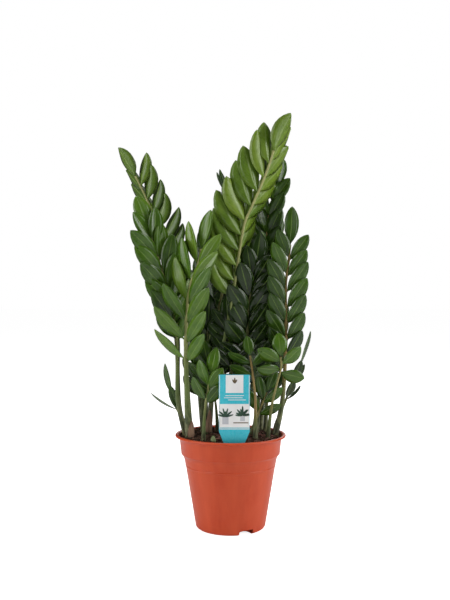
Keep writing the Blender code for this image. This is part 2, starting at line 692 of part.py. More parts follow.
def build_sheath(name, frond, turn, height, mat):
    """A papery bract that stands round one side of a petiole's foot."""
    length = frond.stem.length
    bm = bmesh.new()
    grid = []
    for share, half in SHEATH_ROWS:
        point, along, radius = frond.stem.at((SHEATH_LIFT + share * height) / length)
        side, face = frond.stem.axes(along)
        ring = []
        for away in (0.0, SHEATH_THICKNESS * (1.0 - 0.4 * share)):
            reach = radius + SHEATH_GAP + away + SHEATH_FLARE * share
            angles = [math.radians(turn + half * (m / 2 - 1)) for m in range(5)]
            ring.append([point + (side * math.cos(a) + face * math.sin(a)) * reach for a in angles])
        loop = ring[0] + list(reversed(ring[1]))
        grid.append([bm.verts.new(c) for c in loop])
    bm.faces.new(grid[0])
    for lower, upper in zip(grid, grid[1:]):
        for k in range(len(lower)):
            after = (k + 1) % len(lower)
            bm.faces.new((lower[k], lower[after], upper[after], upper[k]))
    bm.faces.new(reversed(grid[-1]))
    return add_object(name, bm, mat, 50)


SHOOT_PLACE = (-26, -60)      # mm
SHOOT_DEPTH = 0.014
SHOOT_PROFILE = ((0.0, 0.0), (0.0035, 0.0), (0.0048, 0.010), (0.0050, 0.016), (0.0036, 0.021), (0.0, 0.0255))


def shoot_bmesh(grow):
    bm = turned([(r + grow if r else r, h) for r, h in SHOOT_PROFILE], 10)
    if grow:
        bm.verts.ensure_lookup_table()
        for vert in bm.verts:
            vert.co.z += grow * (1 if vert.co.z > 0.02 else -1)
    x, y = planted(*SHOOT_PLACE)
    bm.transform(Matrix.Translation((x, y, soil_height(x, y) - SHOOT_DEPTH)))
    bmesh.ops.recalc_face_normals(bm, faces=bm.faces)
    return bm


# Loose roots on the soil: points in mm and thickness in mm.
LOOSE_ROOTS = {
    "loose_root_1": ([(-33, -58), (-26, -50), (-18, -46), (-10, -44)], 1.0),
    "loose_root_2": ([(-14, -62), (-8, -54), (0, -52)], 0.8),
    "loose_root_3": ([(30, -62), (36, -55), (44, -54), (50, -50)], 1.0),
    "loose_root_4": ([(44, -60), (50, -57), (57, -50)], 0.8),
}

# Bark bits on the soil: place in mm, size in mm, turn in degrees.
BARK_BITS = {
    "bark_bit_1": ((-8, -34), (9, 5, 2.4), 20),
    "bark_bit_2": ((12, -62), (7, 5, 2.2), 75),
    "bark_bit_3": ((-56, -36), (6, 4, 2.0), 130),
    "bark_bit_4": ((36, -16), (8, 5, 2.4), 160),
    "bark_bit_5": ((-10, 20), (8, 6, 2.6), 40),
}


def build_loose_root(name, points, thickness, mat):
    radius = thickness * MM
    lift = radius + 2 * GAP
    bm = bmesh.new()
    places = [planted(*point) for point in points]
    way = [Vector((x, y, soil_height(x, y) + lift)) for x, y in places]
    cap = None
    for j, point in enumerate(way):
        ahead = (way[min(j + 1, len(way) - 1)] - way[max(j - 1, 0)]).normalized()
        across = ahead.cross(Vector((0, 0, 1))).normalized()
        up = across.cross(ahead).normalized()
        thin = radius * (1.0 if 0 < j < len(way) - 1 else 0.6)
        corners = [point + across * (thin * math.cos(a)) + up * (thin * math.sin(a))
                   for a in (math.radians(72 * k) for k in range(5))]
        if cap is None:
            first = [bm.verts.new(c) for c in corners]
            cap = bm.faces.new(first)
        else:
            cap = extrude_cap(bm, cap, corners)
    bm.faces.new(reversed(first))
    return add_object(name, bm, mat, 50)


def build_bark(name, place, size, turn, mat):
    x, y = planted(*place)
    long, wide, high = (s * MM for s in size)
    bm = bmesh.new()
    bmesh.ops.create_cube(bm, size=1.0, matrix=Matrix.Diagonal((long, wide, high, 1)))
    bmesh.ops.bevel(bm, geom=bm.edges[:], offset=high * 0.3, segments=1, affect="EDGES", clamp_overlap=True)
    lift = high / 2 + 0.0009
    place = Matrix.Translation((x, y, soil_height(x, y) + lift))
    bm.transform(place @ Matrix.Rotation(math.radians(turn), 4, "Z"))
    return add_object(name, bm, mat, 30)


# ---------------------------------------------------------------- care label
def label_bmesh(grow):
    """The printed sheet with its shoulders and stake, grown all round where it makes room in the soil."""
    half, neck = LABEL_WIDTH / 2 + grow, LABEL_NECK_WIDTH / 2 + grow
    tip = 0.002 + grow
    heights = (LABEL_HEIGHT + grow, LABEL_SHOULDER, 0.0, -LABEL_STAKE - grow)
    right = [(half, heights[0]), (half, heights[1]), (neck, heights[2]), (tip, heights[3])]
    outline = right + [(-x, z) for x, z in reversed(right)]
    thick = LABEL_THICKNESS / 2 + grow
    bm = bmesh.new()
    sheet = bm.faces.new([bm.verts.new((x, -thick, z)) for x, z in outline])
    drawn = bmesh.ops.extrude_face_region(bm, geom=[sheet], use_keep_orig=True)["geom"]
    for vert in (v for v in drawn if isinstance(v, bmesh.types.BMVert)):
        vert.co.y = thick
    back = math.sqrt((RIM_RADIUS - LIP_WIDTH) ** 2 - (LABEL_CENTRE_X + LABEL_NECK_WIDTH / 2) ** 2)
    place = Matrix.Translation((LABEL_CENTRE_X, -(back - LABEL_WALL_GAP), POT_HEIGHT))
    bm.transform(place @ Matrix.Rotation(math.radians(LABEL_LEAN), 4, "X"))
    bmesh.ops.recalc_face_normals(bm, faces=bm.faces)
    return bm


# ---------------------------------------------------------------- the whole plant
SHEATHS = {
    "sheath_centre_low": ("frond_centre_low", -95, 0.040),
    "sheath_left": ("frond_left_second", -60, 0.034),
    "sheath_front": ("frond_front_pale", 20, 0.026),
    "sheath_right": ("frond_far_right", -100, 0.030),
    "sheath_tall": ("frond_right_tall", -40, 0.036),
}


def main():
    clear_scene()
    clay = material("Pot Plastic", (0.42, 0.07, 0.03), 0.45)
    peat = material("Peat", (0.05, 0.03, 0.02), 0.95)
    tuber = material("Rhizome Skin", (0.45, 0.33, 0.20), 0.8)
    green = material("Frond Green", (0.06, 0.16, 0.03), 0.35)
    paper = material("Dry Sheath", (0.30, 0.16, 0.10), 0.8)
    bark = material("Bark", (0.16, 0.07, 0.04), 0.9)
    print_sheet = material("Label Plastic", (0.08, 0.42, 0.50), 0.3)
    sprout = material("New Shoot", (0.25, 0.36, 0.10), 0.4)

    build_pot(clay)
    soil = build_soil(peat)
    fronds = [Frond(name, values) for name, values in FRONDS.items()]

    for name, (x, y, rx, ry) in RHIZOMES.items():
        centre, half = planted(x, y), planted(rx, ry)
        add_object(name, rhizome_solid(centre, half, 0.0), tuber, 50)
        room = rhizome_solid(centre, half, POCKET_GAP)
        cut(soil, add_object(f"{name}_pocket", room, peat), f"room for {name}")
    for frond in fronds:
        room = stem_pocket(frond, 1.5 * POCKET_GAP)
        cut(soil, add_object(f"{frond.name}_pocket", room, peat), f"room for {frond.name}")
    cut(soil, add_object("shoot_pocket", shoot_bmesh(POCKET_GAP), peat), "room for the shoot")
    cut(soil, add_object("label_pocket", label_bmesh(POCKET_GAP), peat), "room for the label")

    crowd = Crowd()
    add_object("new_shoot", shoot_bmesh(0.0), sprout, 50)
    add_object("care_label", label_bmesh(0.0), print_sheet)
    by_name = {frond.name: frond for frond in fronds}
    for name, (owner, turn, height) in SHEATHS.items():
        build_sheath(name, by_name[owner], turn, height, paper)
    for name, (points, thickness) in LOOSE_ROOTS.items():
        build_loose_root(name, points, thickness, bark)
    for name, (place, size, turn) in BARK_BITS.items():
        build_bark(name, place, size, turn, bark)
    for obj in bpy.data.objects:
        if obj.display_type != "WIRE":
            solid = bmesh.new()
            solid.from_mesh(obj.data)
            crowd.add_bmesh(solid)
            solid.free()

    for frond in fronds:
        crowd.add(*frond.crowd_tube(), owner=frond.name)
    poses = ways_to_settle()
    for frond in fronds:
        frond.settle_end(crowd, poses)
    for frond in fronds:
        for i in reversed(range(frond.values["pairs"])):
            frond.settle_pair(i, crowd, poses)
        build_frond(frond, green)


main()
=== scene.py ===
# %% [markdown]
# # A ZZ plant in a grower's pot
#
# A ZZ plant grows from potato-like rhizomes. Each one sends up stiff fronds with two rows of thick, glossy
# leaflets. This one stands in the thin clay-coloured plastic pot that growers sell it in, with a care label
# pushed into the soil. The first cell loads the measured model of the plant. Everything made later takes its
# place from that model, so nothing has to be fitted by eye.

# %% Load the measured model
import math
import random

import bmesh
import bpy
import numpy as np
from mathutils import Matrix, Vector


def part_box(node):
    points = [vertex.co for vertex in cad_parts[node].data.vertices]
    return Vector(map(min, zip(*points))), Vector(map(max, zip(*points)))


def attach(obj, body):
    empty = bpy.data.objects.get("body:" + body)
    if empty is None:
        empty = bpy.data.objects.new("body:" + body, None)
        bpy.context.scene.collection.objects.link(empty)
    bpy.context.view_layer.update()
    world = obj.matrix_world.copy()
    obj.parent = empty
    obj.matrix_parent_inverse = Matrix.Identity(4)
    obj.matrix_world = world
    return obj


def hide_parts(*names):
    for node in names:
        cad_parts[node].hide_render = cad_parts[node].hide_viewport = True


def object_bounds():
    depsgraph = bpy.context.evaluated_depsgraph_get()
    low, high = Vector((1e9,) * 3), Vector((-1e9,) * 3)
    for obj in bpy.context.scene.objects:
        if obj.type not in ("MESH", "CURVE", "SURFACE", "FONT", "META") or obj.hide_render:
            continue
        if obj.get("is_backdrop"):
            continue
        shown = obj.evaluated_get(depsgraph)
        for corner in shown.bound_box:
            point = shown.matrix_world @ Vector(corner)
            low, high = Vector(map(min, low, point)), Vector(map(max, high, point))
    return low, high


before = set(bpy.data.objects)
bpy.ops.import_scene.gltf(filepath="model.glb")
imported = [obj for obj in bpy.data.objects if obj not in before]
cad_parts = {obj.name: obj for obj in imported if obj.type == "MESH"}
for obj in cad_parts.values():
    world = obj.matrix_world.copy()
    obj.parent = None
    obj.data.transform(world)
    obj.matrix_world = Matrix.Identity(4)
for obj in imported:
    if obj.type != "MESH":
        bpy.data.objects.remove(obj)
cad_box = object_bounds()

MM = 0.001
print("nodes:", len(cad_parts), "box:", [[round(v, 3) for v in corner] for corner in cad_box])

# %% [markdown]
# ## Camera
#
# A plant like this is best seen level, from a little over a metre away and from about half its height. A
# level camera keeps the pot's sides symmetrical. One could tilt it and crop, but then the fronds would lean
# together towards the top.

# %% Place the camera
CAMERA_PLACE = (-0.0086, -1.2, 0.353)
VIEW_HEIGHT_AT_ONE_METRE = 600 / 769
SENSOR = 36.0
FARTHEST = 100

bpy.ops.object.camera_add(location=CAMERA_PLACE, rotation=(math.pi / 2, 0, 0))
camera = bpy.context.active_object
camera.name = "studio_camera"
camera.data.sensor_fit = "VERTICAL"
camera.data.sensor_height = SENSOR
camera.data.lens = SENSOR / VIEW_HEIGHT_AT_ONE_METRE
camera.data.clip_end = FARTHEST
bpy.context.scene.camera = camera
print("lens:", round(camera.data.lens, 1), "mm")

# %% [markdown]
# ## Light and floor
#
# The plant stands in a white studio: a big soft light on each side, and weaker ones in front, behind and
# above. The glossy leaflets and the round pot get their shape from the two side lights, so these are the
# strongest. The world is white where the camera sees it, and dimmer as a light, so that it doesn't wash the
# shading out.

# %% Build the studio
def pick_nothing():
    """The loaded model is selected, and an operator would act on it."""
    bpy.ops.object.select_all(action="DESELECT")


def pick(*objects):
    """Selects just these objects and makes the first one active."""
    pick_nothing()
    for obj in objects:
        obj.select_set(True)
    bpy.context.view_layer.objects.active = objects[0]


def soft_light(name, place, size, watts):
    """An area light that faces the plant."""
    pick_nothing()
    bpy.ops.object.light_add(type="AREA", location=place)
    light = bpy.context.active_object
    light.name = name
    light.data.shape = "RECTANGLE"
    light.data.size, light.data.size_y = size
    light.data.energy = watts
    light.rotation_euler = (PLANT_MIDDLE - Vector(place)).to_track_quat("-Z", "Y").to_euler()


PLANT_MIDDLE = Vector((0.0, 0.0, 0.32))
WORLD_AS_LIGHT = 0.10        # strength of the world where the camera doesn't look straight at it
soft_light("light_left", (-1.5, -0.7, 0.9), (0.7, 1.8), 22)
soft_light("light_right", (1.6, -0.5, 0.9), (0.7, 1.8), 25)
soft_light("light_front", (0.3, -2.4, 1.5), (1.2, 1.0), 4)
soft_light("light_back", (0.5, 1.9, 1.2), (1.2, 1.0), 12)
soft_light("light_top", (0.0, -0.2, 2.3), (1.2, 1.2), 13)

world = bpy.data.worlds.new("studio_white")
bpy.context.scene.world = world
world.use_nodes = True
tree = world.node_tree
seen = tree.nodes.new("ShaderNodeLightPath")
strength = tree.nodes.new("ShaderNodeMapRange")
strength.inputs["To Min"].default_value = WORLD_AS_LIGHT
strength.inputs["To Max"].default_value = 1.0
tree.links.new(seen.outputs["Is Camera Ray"], strength.inputs["Value"])
tree.nodes["Background"].inputs["Color"].default_value = (1, 1, 1, 1)
tree.links.new(strength.outputs["Result"], tree.nodes["Background"].inputs["Strength"])
bpy.context.scene.view_settings.view_transform = "Standard"

# %% [markdown]
# ## Finishes
#
# A finish here is a Principled shader whose colour and roughness come from patterns. Patterns read Object
# coordinates, which are metres in the same frame as the model, so a speckle of 3 mm is 3 mm on every piece.
# One effect serves nearly all of them: a soft mottling, for streaks in moulded plastic, spots on a petiole
# and lumps in peat. It is a node group, built once, with its size and stretch as inputs.

# %% Helpers for shader nodes
def add_node(tree, kind, settings=None, **inputs):
    """A shader node with attributes from settings and socket values or links from inputs."""
    node = tree.nodes.new(f"ShaderNode{kind}")
    for key, value in (settings or {}).items():
        setattr(node, key, value)
    for key, value in inputs.items():
        plug(tree, node.inputs[key.replace("_", " ")], value)
    return node


def plug(tree, socket, value):
    """Links an output to the socket, or sets the socket's value."""
    if isinstance(value, bpy.types.NodeSocket):
        tree.links.new(value, socket)
    else:
        socket.default_value = value


def maths(tree, operation, first, second=0.0):
    node = tree.nodes.new("ShaderNodeMath")
    node.operation = operation
    plug(tree, node.inputs[0], first)
    plug(tree, node.inputs[1], second)
    return node.outputs["Value"]


def remap(tree, value, low, high, to_low=0.0, to_high=1.0):
    """The value eased from the range low to high into another range."""
    node = add_node(tree, "MapRange", {"interpolation_type": "SMOOTHSTEP"}, Value=value)
    for key, number in (("From Min", low), ("From Max", high), ("To Min", to_low), ("To Max", to_high)):
        node.inputs[key].default_value = number
    return node.outputs["Result"]


def blend_colours(tree, share, first, second):
    node = tree.nodes.new("ShaderNodeMix")
    node.data_type = "RGBA"
    plug(tree, node.inputs["Factor"], share)
    plug(tree, node.inputs["A"], (*first, 1) if isinstance(first, tuple) else first)
    plug(tree, node.inputs["B"], (*second, 1) if isinstance(second, tuple) else second)
    return node.outputs["Result"]


def ramp(tree, share, stops):
    """A colour ramp through (position, colour) stops."""
    node = tree.nodes.new("ShaderNodeValToRGB")
    plug(tree, node.inputs["Fac"], share)
    elements = node.color_ramp.elements
    while len(elements) < len(stops):
        elements.new(0.5)
    for element, (position, colour) in zip(elements, stops):
        element.position = position
        element.color = (*colour, 1)
    return node.outputs["Color"]


def finish_of(name, roughness, **sockets):
    """A new material with its Principled shader, ready for patterns."""
    mat = bpy.data.materials.new(name)
    mat.use_nodes = True
    shader = mat.node_tree.nodes["Principled BSDF"]
    shader.inputs["Roughness"].default_value = roughness
    for key, value in sockets.items():
        shader.inputs[key.replace("_", " ")].default_value = value
    return mat, mat.node_tree, shader


def raise_bumps(tree, shader, height, distance, strength=1.0):
    bump = add_node(tree, "Bump", Height=height, Distance=distance, Strength=strength)
    tree.links.new(bump.outputs["Normal"], shader.inputs["Normal"])

# %% [markdown]
# The group has two outputs. Mask is a pattern of patches, whose edges get harder as Softness falls. Grain is
# a finer noise, for roughness and bumps. Stretch draws both out upwards.

# %% The mottling group
def effect_group(name, inputs, outputs):
    """A node group with named numbers in and out, and its two end nodes."""
    group = bpy.data.node_groups.new(name, "ShaderNodeTree")
    for label, value in inputs:
        socket = group.interface.new_socket(label, in_out="INPUT", socket_type="NodeSocketFloat")
        socket.default_value = value
    for label in outputs:
        group.interface.new_socket(label, in_out="OUTPUT", socket_type="NodeSocketFloat")
    return group, group.nodes.new("NodeGroupInput"), group.nodes.new("NodeGroupOutput")


MM_PER_METRE = 1000.0
mottling, inside, outside = effect_group("mottling", (("Size", 5.0), ("Stretch", 1.0), ("Softness", 0.5)),
                                         ("Mask", "Grain"))
place = add_node(mottling, "TexCoord").outputs["Object"]
per_size = maths(mottling, "DIVIDE", MM_PER_METRE, inside.outputs["Size"])
upright = maths(mottling, "DIVIDE", per_size, inside.outputs["Stretch"])
squeeze = add_node(mottling, "CombineXYZ", X=per_size, Y=per_size, Z=upright)
scaled = add_node(mottling, "VectorMath", {"operation": "MULTIPLY"})
mottling.links.new(place, scaled.inputs[0])
mottling.links.new(squeeze.outputs["Vector"], scaled.inputs[1])
clouds = add_node(mottling, "TexNoise", Vector=scaled.outputs["Vector"], Scale=1.0, Detail=4.0,
                  Roughness=0.55)
half_soft = maths(mottling, "MULTIPLY", inside.outputs["Softness"], 0.5)
low_end = maths(mottling, "SUBTRACT", 0.5, half_soft)
high_end = maths(mottling, "ADD", 0.5, half_soft)
sharpened = add_node(mottling, "MapRange", {"interpolation_type": "SMOOTHSTEP"}, Value=clouds.outputs["Fac"])
mottling.links.new(low_end, sharpened.inputs["From Min"])
mottling.links.new(high_end, sharpened.inputs["From Max"])
mottling.links.new(sharpened.outputs["Result"], outside.inputs["Mask"])
fine = add_node(mottling, "TexNoise", Vector=scaled.outputs["Vector"], Scale=6.0, Detail=3.0)
mottling.links.new(fine.outputs["Fac"], outside.inputs["Grain"])


def mottled(tree, size, stretch=1.0, softness=0.5):
    """Mask and grain of the mottling, for spots of about this size in mm."""
    node = tree.nodes.new("ShaderNodeGroup")
    node.node_tree = mottling
    node.inputs["Size"].default_value = size
    node.inputs["Stretch"].default_value = stretch
    node.inputs["Softness"].default_value = softness
    return node.outputs["Mask"], node.outputs["Grain"]


def height_in(tree):
    """The height of a point, in metres."""
    split = add_node(tree, "SeparateXYZ", Vector=add_node(tree, "TexCoord").outputs["Object"])
    return split.outputs["Z"]


print("group sockets:", len(mottling.interface.items_tree))

# %% [markdown]
# ## The studio floor
#
# The plant stands on a light table: a pale sheet that is lit from below as well, so that hardly any shadow
# shows. A wide plane does for it. It looks brighter to the camera than it shines on the plant.

# %% Lay the floor
def in_edit_mode(obj):
    """Opens the mesh for editing, with nothing in it selected."""
    pick(obj)
    bpy.ops.object.mode_set(mode="EDIT")
    bpy.ops.mesh.select_all(action="DESELECT")


def object_mode():
    bpy.ops.object.mode_set(mode="OBJECT")


def select_points(obj, wanted):
    """In edit mode, selects just the points that the function wants."""
    bm = bmesh.from_edit_mesh(obj.data)
    for part in (bm.verts, bm.edges, bm.faces):
        for item in part:
            item.select = False
    bm.select_mode = {"VERT"}
    bpy.context.tool_settings.mesh_select_mode = (True, False, False)
    for vert in bm.verts:
        vert.select = bool(wanted(vert))
    bm.select_flush_mode()
    bmesh.update_edit_mesh(obj.data)


FLOOR_SIZE = 60.0
GLOW, GLOW_SEEN = 0.05, 0.90     # how brightly the table shines on things, and how brightly it looks
pick_nothing()
bpy.ops.mesh.primitive_plane_add(size=FLOOR_SIZE, location=(0, 0, 0))
floor = bpy.context.active_object
floor.name = "studio_floor"
table_top, tree, shader = finish_of("light_table", 0.9)
plug(tree, shader.inputs["Base Color"], (0.93, 0.93, 0.93, 1))
plug(tree, shader.inputs["Emission Color"], (1, 1, 1, 1))
seen = add_node(tree, "LightPath").outputs["Is Camera Ray"]
plug(tree, shader.inputs["Emission Strength"], remap(tree, seen, 0, 1, GLOW, GLOW_SEEN))
floor.data.materials.append(table_top)
floor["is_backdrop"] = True
print("floor points:", len(floor.data.vertices))

# %% [markdown]
# ## Pot
#
# The pot is blown or injected from one thin sheet of plastic: a tapered body, a step, a shoulder that rounds
# out into a wider collar, and a rolled lip, with a raised drainage floor that stands on a ring and a round
# foot. A turned shape like this could be spun from a drawn profile. Here a circle is drawn out ring by ring,
# which is how the profile reads anyway: radius and height in millimetres, from the foot outwards, up the
# outside, over the lip and down the inside.

# %% Draw the pot's profile
POT_HEIGHT = 145 * MM
BASE_RADIUS = 54.5 * MM
POT_SIDES = 128
RING_OUTSIDE, BASE_ROUNDING = 48.5, 6

foot_and_floor = [(18, 0), (22, 4.2), (26.5, 8.5), (39.8, 8.5), (42.1, 4.2), (44, 0), (RING_OUTSIDE, 0)]
rounded_base = [(RING_OUTSIDE + BASE_ROUNDING * math.sin(a), BASE_ROUNDING - BASE_ROUNDING * math.cos(a))
                for a in np.radians((15, 30, 45, 60, 75, 90))]
body_and_step = [(61.9, 50), (69.1, 92.8), (69.5, 95.6), (70.2, 96.4), (70.4, 97.4), (70.0, 98.2),
                 (70.4, 99.4)]
shoulder = [(71.1, 103.0), (71.9, 106.6), (72.9, 109.6), (74.2, 112.2), (75.6, 114.2), (76.5, 114.9),
            (76.9, 115.6), (76.9, 116.8)]
collar = [(78.9, 135.4), (79.6, 137.6), (80.4, 139.6), (81.6, 140.8)]
lip = [(84.9, 141.4), (85.8, 142.0), (86.0, 143.0), (85.7, 144.1), (85.0, 144.8), (84.0, 145.0),
       (82.2, 144.9), (81.2, 144.4), (80.6, 143.6), (80.0, 141.8)]
inner_side = [(77.7, 137.0), (75.1, 115.4), (71.3, 109.6), (68.7, 98.8), (67.8, 95.6), (53.3, 10.8)]
inner_floor = [(52.6, 10.4), (48.0, 10.3), (43.4, 10.3), (26.5, 10.3), (18.0, 1.8)]
outer_side = foot_and_floor + rounded_base + body_and_step + shoulder + collar
pot_profile = outer_side + lip + inner_side + inner_floor


def turned(name, profile, sides):
    """A closed turned solid. The profile is (radius, height) in mm, and both its ends are capped."""
    radius, height = profile[0][0] * MM, profile[0][1] * MM
    pick_nothing()
    bpy.ops.mesh.primitive_circle_add(vertices=sides, radius=radius, fill_type="NGON",
                                      location=(0, 0, height))
    obj = bpy.context.active_object
    obj.name = obj.data.name = name
    bpy.ops.object.transform_apply(location=True)
    bpy.ops.object.mode_set(mode="EDIT")
    bpy.ops.mesh.select_all(action="SELECT")
    for new_radius, new_height in profile[1:]:
        rise = new_height * MM - height
        bpy.ops.mesh.extrude_region_move(TRANSFORM_OT_translate={"value": (0, 0, rise)})
        share = new_radius * MM / radius
        bpy.ops.transform.resize(value=(share, share, 1), center_override=(0, 0, new_height * MM))
        radius, height = new_radius * MM, new_height * MM
    bpy.ops.mesh.select_all(action="DESELECT")
    bpy.ops.mesh.select_mode(type="EDGE")
    bpy.ops.mesh.select_non_manifold()
    if any(edge.select for edge in bmesh.from_edit_mesh(obj.data).edges):
        bpy.ops.mesh.fill()
    bpy.ops.mesh.select_all(action="SELECT")
    bpy.ops.mesh.normals_make_consistent(inside=False)
    object_mode()
    return obj


def apply_modifiers(obj):
    pick(obj)
    for name in [modifier.name for modifier in obj.modifiers]:
        bpy.ops.object.modifier_apply(modifier=name)


def smooth(obj, degrees):
    """Smooth shading, with edges sharper than this left crisp."""
    pick(obj)
    bpy.ops.object.shade_smooth_by_angle(angle=math.radians(degrees))


pot = turned("growers_pot", pot_profile, POT_SIDES)
print("pot faces:", len(pot.data.polygons), "tallest ring:", round(max(v.co.z for v in pot.data.vertices), 4))

# %% [markdown]
# The ring that the pot stands on is notched so that water can run out, and the raised floor has round holes.
# Cutting them with Boolean modifiers keeps the wall's thickness visible in the notches.

# %% Cut the notches and the drain holes
def drop(*shapes):
    """Takes away cutters and patterns that have done their work."""
    for shape in shapes:
        bpy.data.objects.remove(shape, do_unlink=True)


NOTCH_AZIMUTHS = (-64, 116)
NOTCH_SIZE = (0.024, 0.023, 0.0164)
DRAIN_COUNT = 8
DRAIN_REACH, DRAIN_HEIGHT = 31 * MM, 9.4 * MM
DRAIN_RADIUS, DRAIN_DEPTH = 4 * MM, 6 * MM
cutters = []
for azimuth in NOTCH_AZIMUTHS:
    angle = math.radians(azimuth)
    place = (BASE_RADIUS * math.cos(angle), BASE_RADIUS * math.sin(angle), 0)
    pick_nothing()
    bpy.ops.mesh.primitive_cube_add(size=1, location=place, rotation=(0, 0, angle), scale=NOTCH_SIZE)
    cutters.append(bpy.context.active_object)
for k in range(DRAIN_COUNT):
    angle = 2 * math.pi * (k + 0.5) / DRAIN_COUNT
    place = (DRAIN_REACH * math.cos(angle), DRAIN_REACH * math.sin(angle), DRAIN_HEIGHT)
    pick_nothing()
    bpy.ops.mesh.primitive_cylinder_add(vertices=24, radius=DRAIN_RADIUS, depth=DRAIN_DEPTH, location=place)
    cutters.append(bpy.context.active_object)
for cutter in cutters:
    cut = pot.modifiers.new("cut", "BOOLEAN")
    cut.operation = "DIFFERENCE"
    cut.solver = "EXACT"
    cut.object = cutter
apply_modifiers(pot)
drop(*cutters)
smooth(pot, 35)
print("pot faces after cutting:", len(pot.data.polygons))

# %% [markdown]
# The plastic is a matt clay red with a satin gleam. Moulding leaves faint upright streaks, handling leaves
# duller patches, and the inside of the rim turns a darker brown just above the soil. The streaks are the
# mottling stretched sevenfold upwards.

# %% Clay-coloured plastic
PLAIN_ABOVE, DARKER_BELOW = 0.1425, 0.137     # the inside of the rim is plain above and a darker brown below
clay, tree, shader = finish_of("clay_plastic", 0.36, Specular_IOR_Level=0.28)
streak, _ = mottled(tree, 14, stretch=7, softness=0.7)
patch, grain = mottled(tree, 30, stretch=1.3, softness=0.6)
fresh = blend_colours(tree, streak, (0.44, 0.044, 0.010), (0.53, 0.066, 0.018))
worn = blend_colours(tree, maths(tree, "MULTIPLY", patch, 0.35), fresh, (0.57, 0.095, 0.034))
near_soil = remap(tree, height_in(tree), PLAIN_ABOVE, DARKER_BELOW)
flat = add_node(tree, "VectorMath", {"operation": "MULTIPLY"})
tree.links.new(add_node(tree, "TexCoord").outputs["Object"], flat.inputs[0])
flat.inputs[1].default_value = (1, 1, 0)
facing = add_node(tree, "NewGeometry")
turned_in = add_node(tree, "VectorMath", {"operation": "DOT_PRODUCT"})
tree.links.new(facing.outputs["Normal"], turned_in.inputs[0])
tree.links.new(flat.outputs["Vector"], turned_in.inputs[1])
inward = remap(tree, turned_in.outputs["Value"], 0.0, -0.02)
# the inward faces of the rim turn a darker brown just above the soil
darker_inside_rim = maths(tree, "MULTIPLY", maths(tree, "MULTIPLY", near_soil, inward), 0.8)
plug(tree, shader.inputs["Base Color"], blend_colours(tree, darker_inside_rim, worn, (0.10, 0.045, 0.025)))
plug(tree, shader.inputs["Roughness"], remap(tree, patch, 0, 1, 0.30, 0.42))
raise_bumps(tree, shader, grain, 0.00008)
pot.data.materials.append(clay)
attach(pot, "root")
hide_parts("nursery_pot")
print("pot box:", [round(v, 4) for v in pot.dimensions])

# %% [markdown]
# ## Soil
#
# Potting peat is a heap of dark crumbs with fibres and flakes of bark. The measured model has its body; what
# is seen is its surface. A lumpy skin could be one displaced sheet, but a sheet never looks loose, so the
# skin is only the ground, and hundreds of crumbs lie on it. The skin is turned like the pot, and two Displace
# modifiers with cloud patterns raise its lumps.

# %% The lumpy ground
SOIL_EDGE = POT_HEIGHT - 5.5 * MM
SOIL_RADIUS = 77.7 * MM
SOIL_HEAP = 6 * MM
GROUND_LIFT_MM = 0.8         # how far the skin lies above the measured soil
GROUND_SIDES = 110


def soil_height(x, y):
    """Height of the soil in the measured model."""
    share = min(math.hypot(x, y) / SOIL_RADIUS, 1.0)
    return SOIL_EDGE + SOIL_HEAP * (1.0 - share ** 3)


edge_mm = SOIL_EDGE / MM
under_mm = edge_mm - 7
ground_profile = [(2, under_mm), (40, under_mm), (75.0, under_mm), (76.6, edge_mm - 0.5),
                  (76.4, edge_mm + 0.6)]
for radius in np.linspace(74.5, 1.5, 34):
    ground_profile.append((float(radius), soil_height(radius * MM, 0) / MM + GROUND_LIFT_MM))
ground = turned("soil_ground", ground_profile, GROUND_SIDES)
for name, size, strength in (("lumps", 0.016, 5.0), ("crumbs", 0.005, 2.4)):
    clouds = bpy.data.textures.new(name, "CLOUDS")
    clouds.noise_scale = size
    clouds.noise_depth = 2
    bumpy = ground.modifiers.new(name, "DISPLACE")
    bumpy.texture = clouds
    bumpy.texture_coords = "LOCAL"
    bumpy.direction = "Z"
    bumpy.strength = strength * MM
    bumpy.mid_level = 0.5
apply_modifiers(ground)
smooth(ground, 70)
print("ground points:", len(ground.data.vertices))

# %% [markdown]
# Peat is nearly black and quite dull. Its colour varies from lump to lump, with small lighter specks, and a
# fine grain raises its surface.

# %% Peat
peat, tree, shader = finish_of("peat", 0.95, Specular_IOR_Level=0.15)
lump, grain = mottled(tree, 7, softness=0.5)
speck, fibre = mottled(tree, 1.6, softness=0.25)
dark = blend_colours(tree, lump, (0.018, 0.009, 0.006), (0.060, 0.030, 0.017))
plug(tree, shader.inputs["Base Color"],
     blend_colours(tree, maths(tree, "MULTIPLY", speck, 0.4), dark, (0.11, 0.062, 0.036)))
plug(tree, shader.inputs["Roughness"], remap(tree, grain, 0.3, 0.7, 0.85, 1.0))
raise_bumps(tree, shader, fibre, 0.0006)
ground.data.materials.append(peat)
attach(ground, "root")


def repaint(node, mat):
    """A CAD node keeps its shape and gets this finish."""
    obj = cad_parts[node]
    obj.data.materials.clear()
    obj.data.materials.append(mat)


repaint("potting_soil", peat)

# %% [markdown]
# Crumbs are modelled once, as a ball with its points shaken, in three sizes of shake. Each copy gets its own
# mesh, turn and size, and its place comes from a seeded draw, so that every run gives the same pot of soil.
# Filling the pot leaves a bank of crumbs against the rim, so a second draw heaps some up there.

# %% Crumbs on the soil
def shaken_ball(name, shake, seed):
    """A ball of radius 1 with its points shaken out of place."""
    pick_nothing()
    bpy.ops.mesh.primitive_ico_sphere_add(subdivisions=2, radius=1.0)
    ball = bpy.context.active_object
    ball.name = name
    bpy.ops.object.mode_set(mode="EDIT")
    bpy.ops.transform.vertex_random(offset=shake, seed=seed)
    object_mode()
    bpy.ops.object.shade_smooth()
    return ball


def joined(name, objects):
    pick(*objects)
    bpy.ops.object.join()
    piece = bpy.context.active_object
    piece.name = piece.data.name = name
    return piece


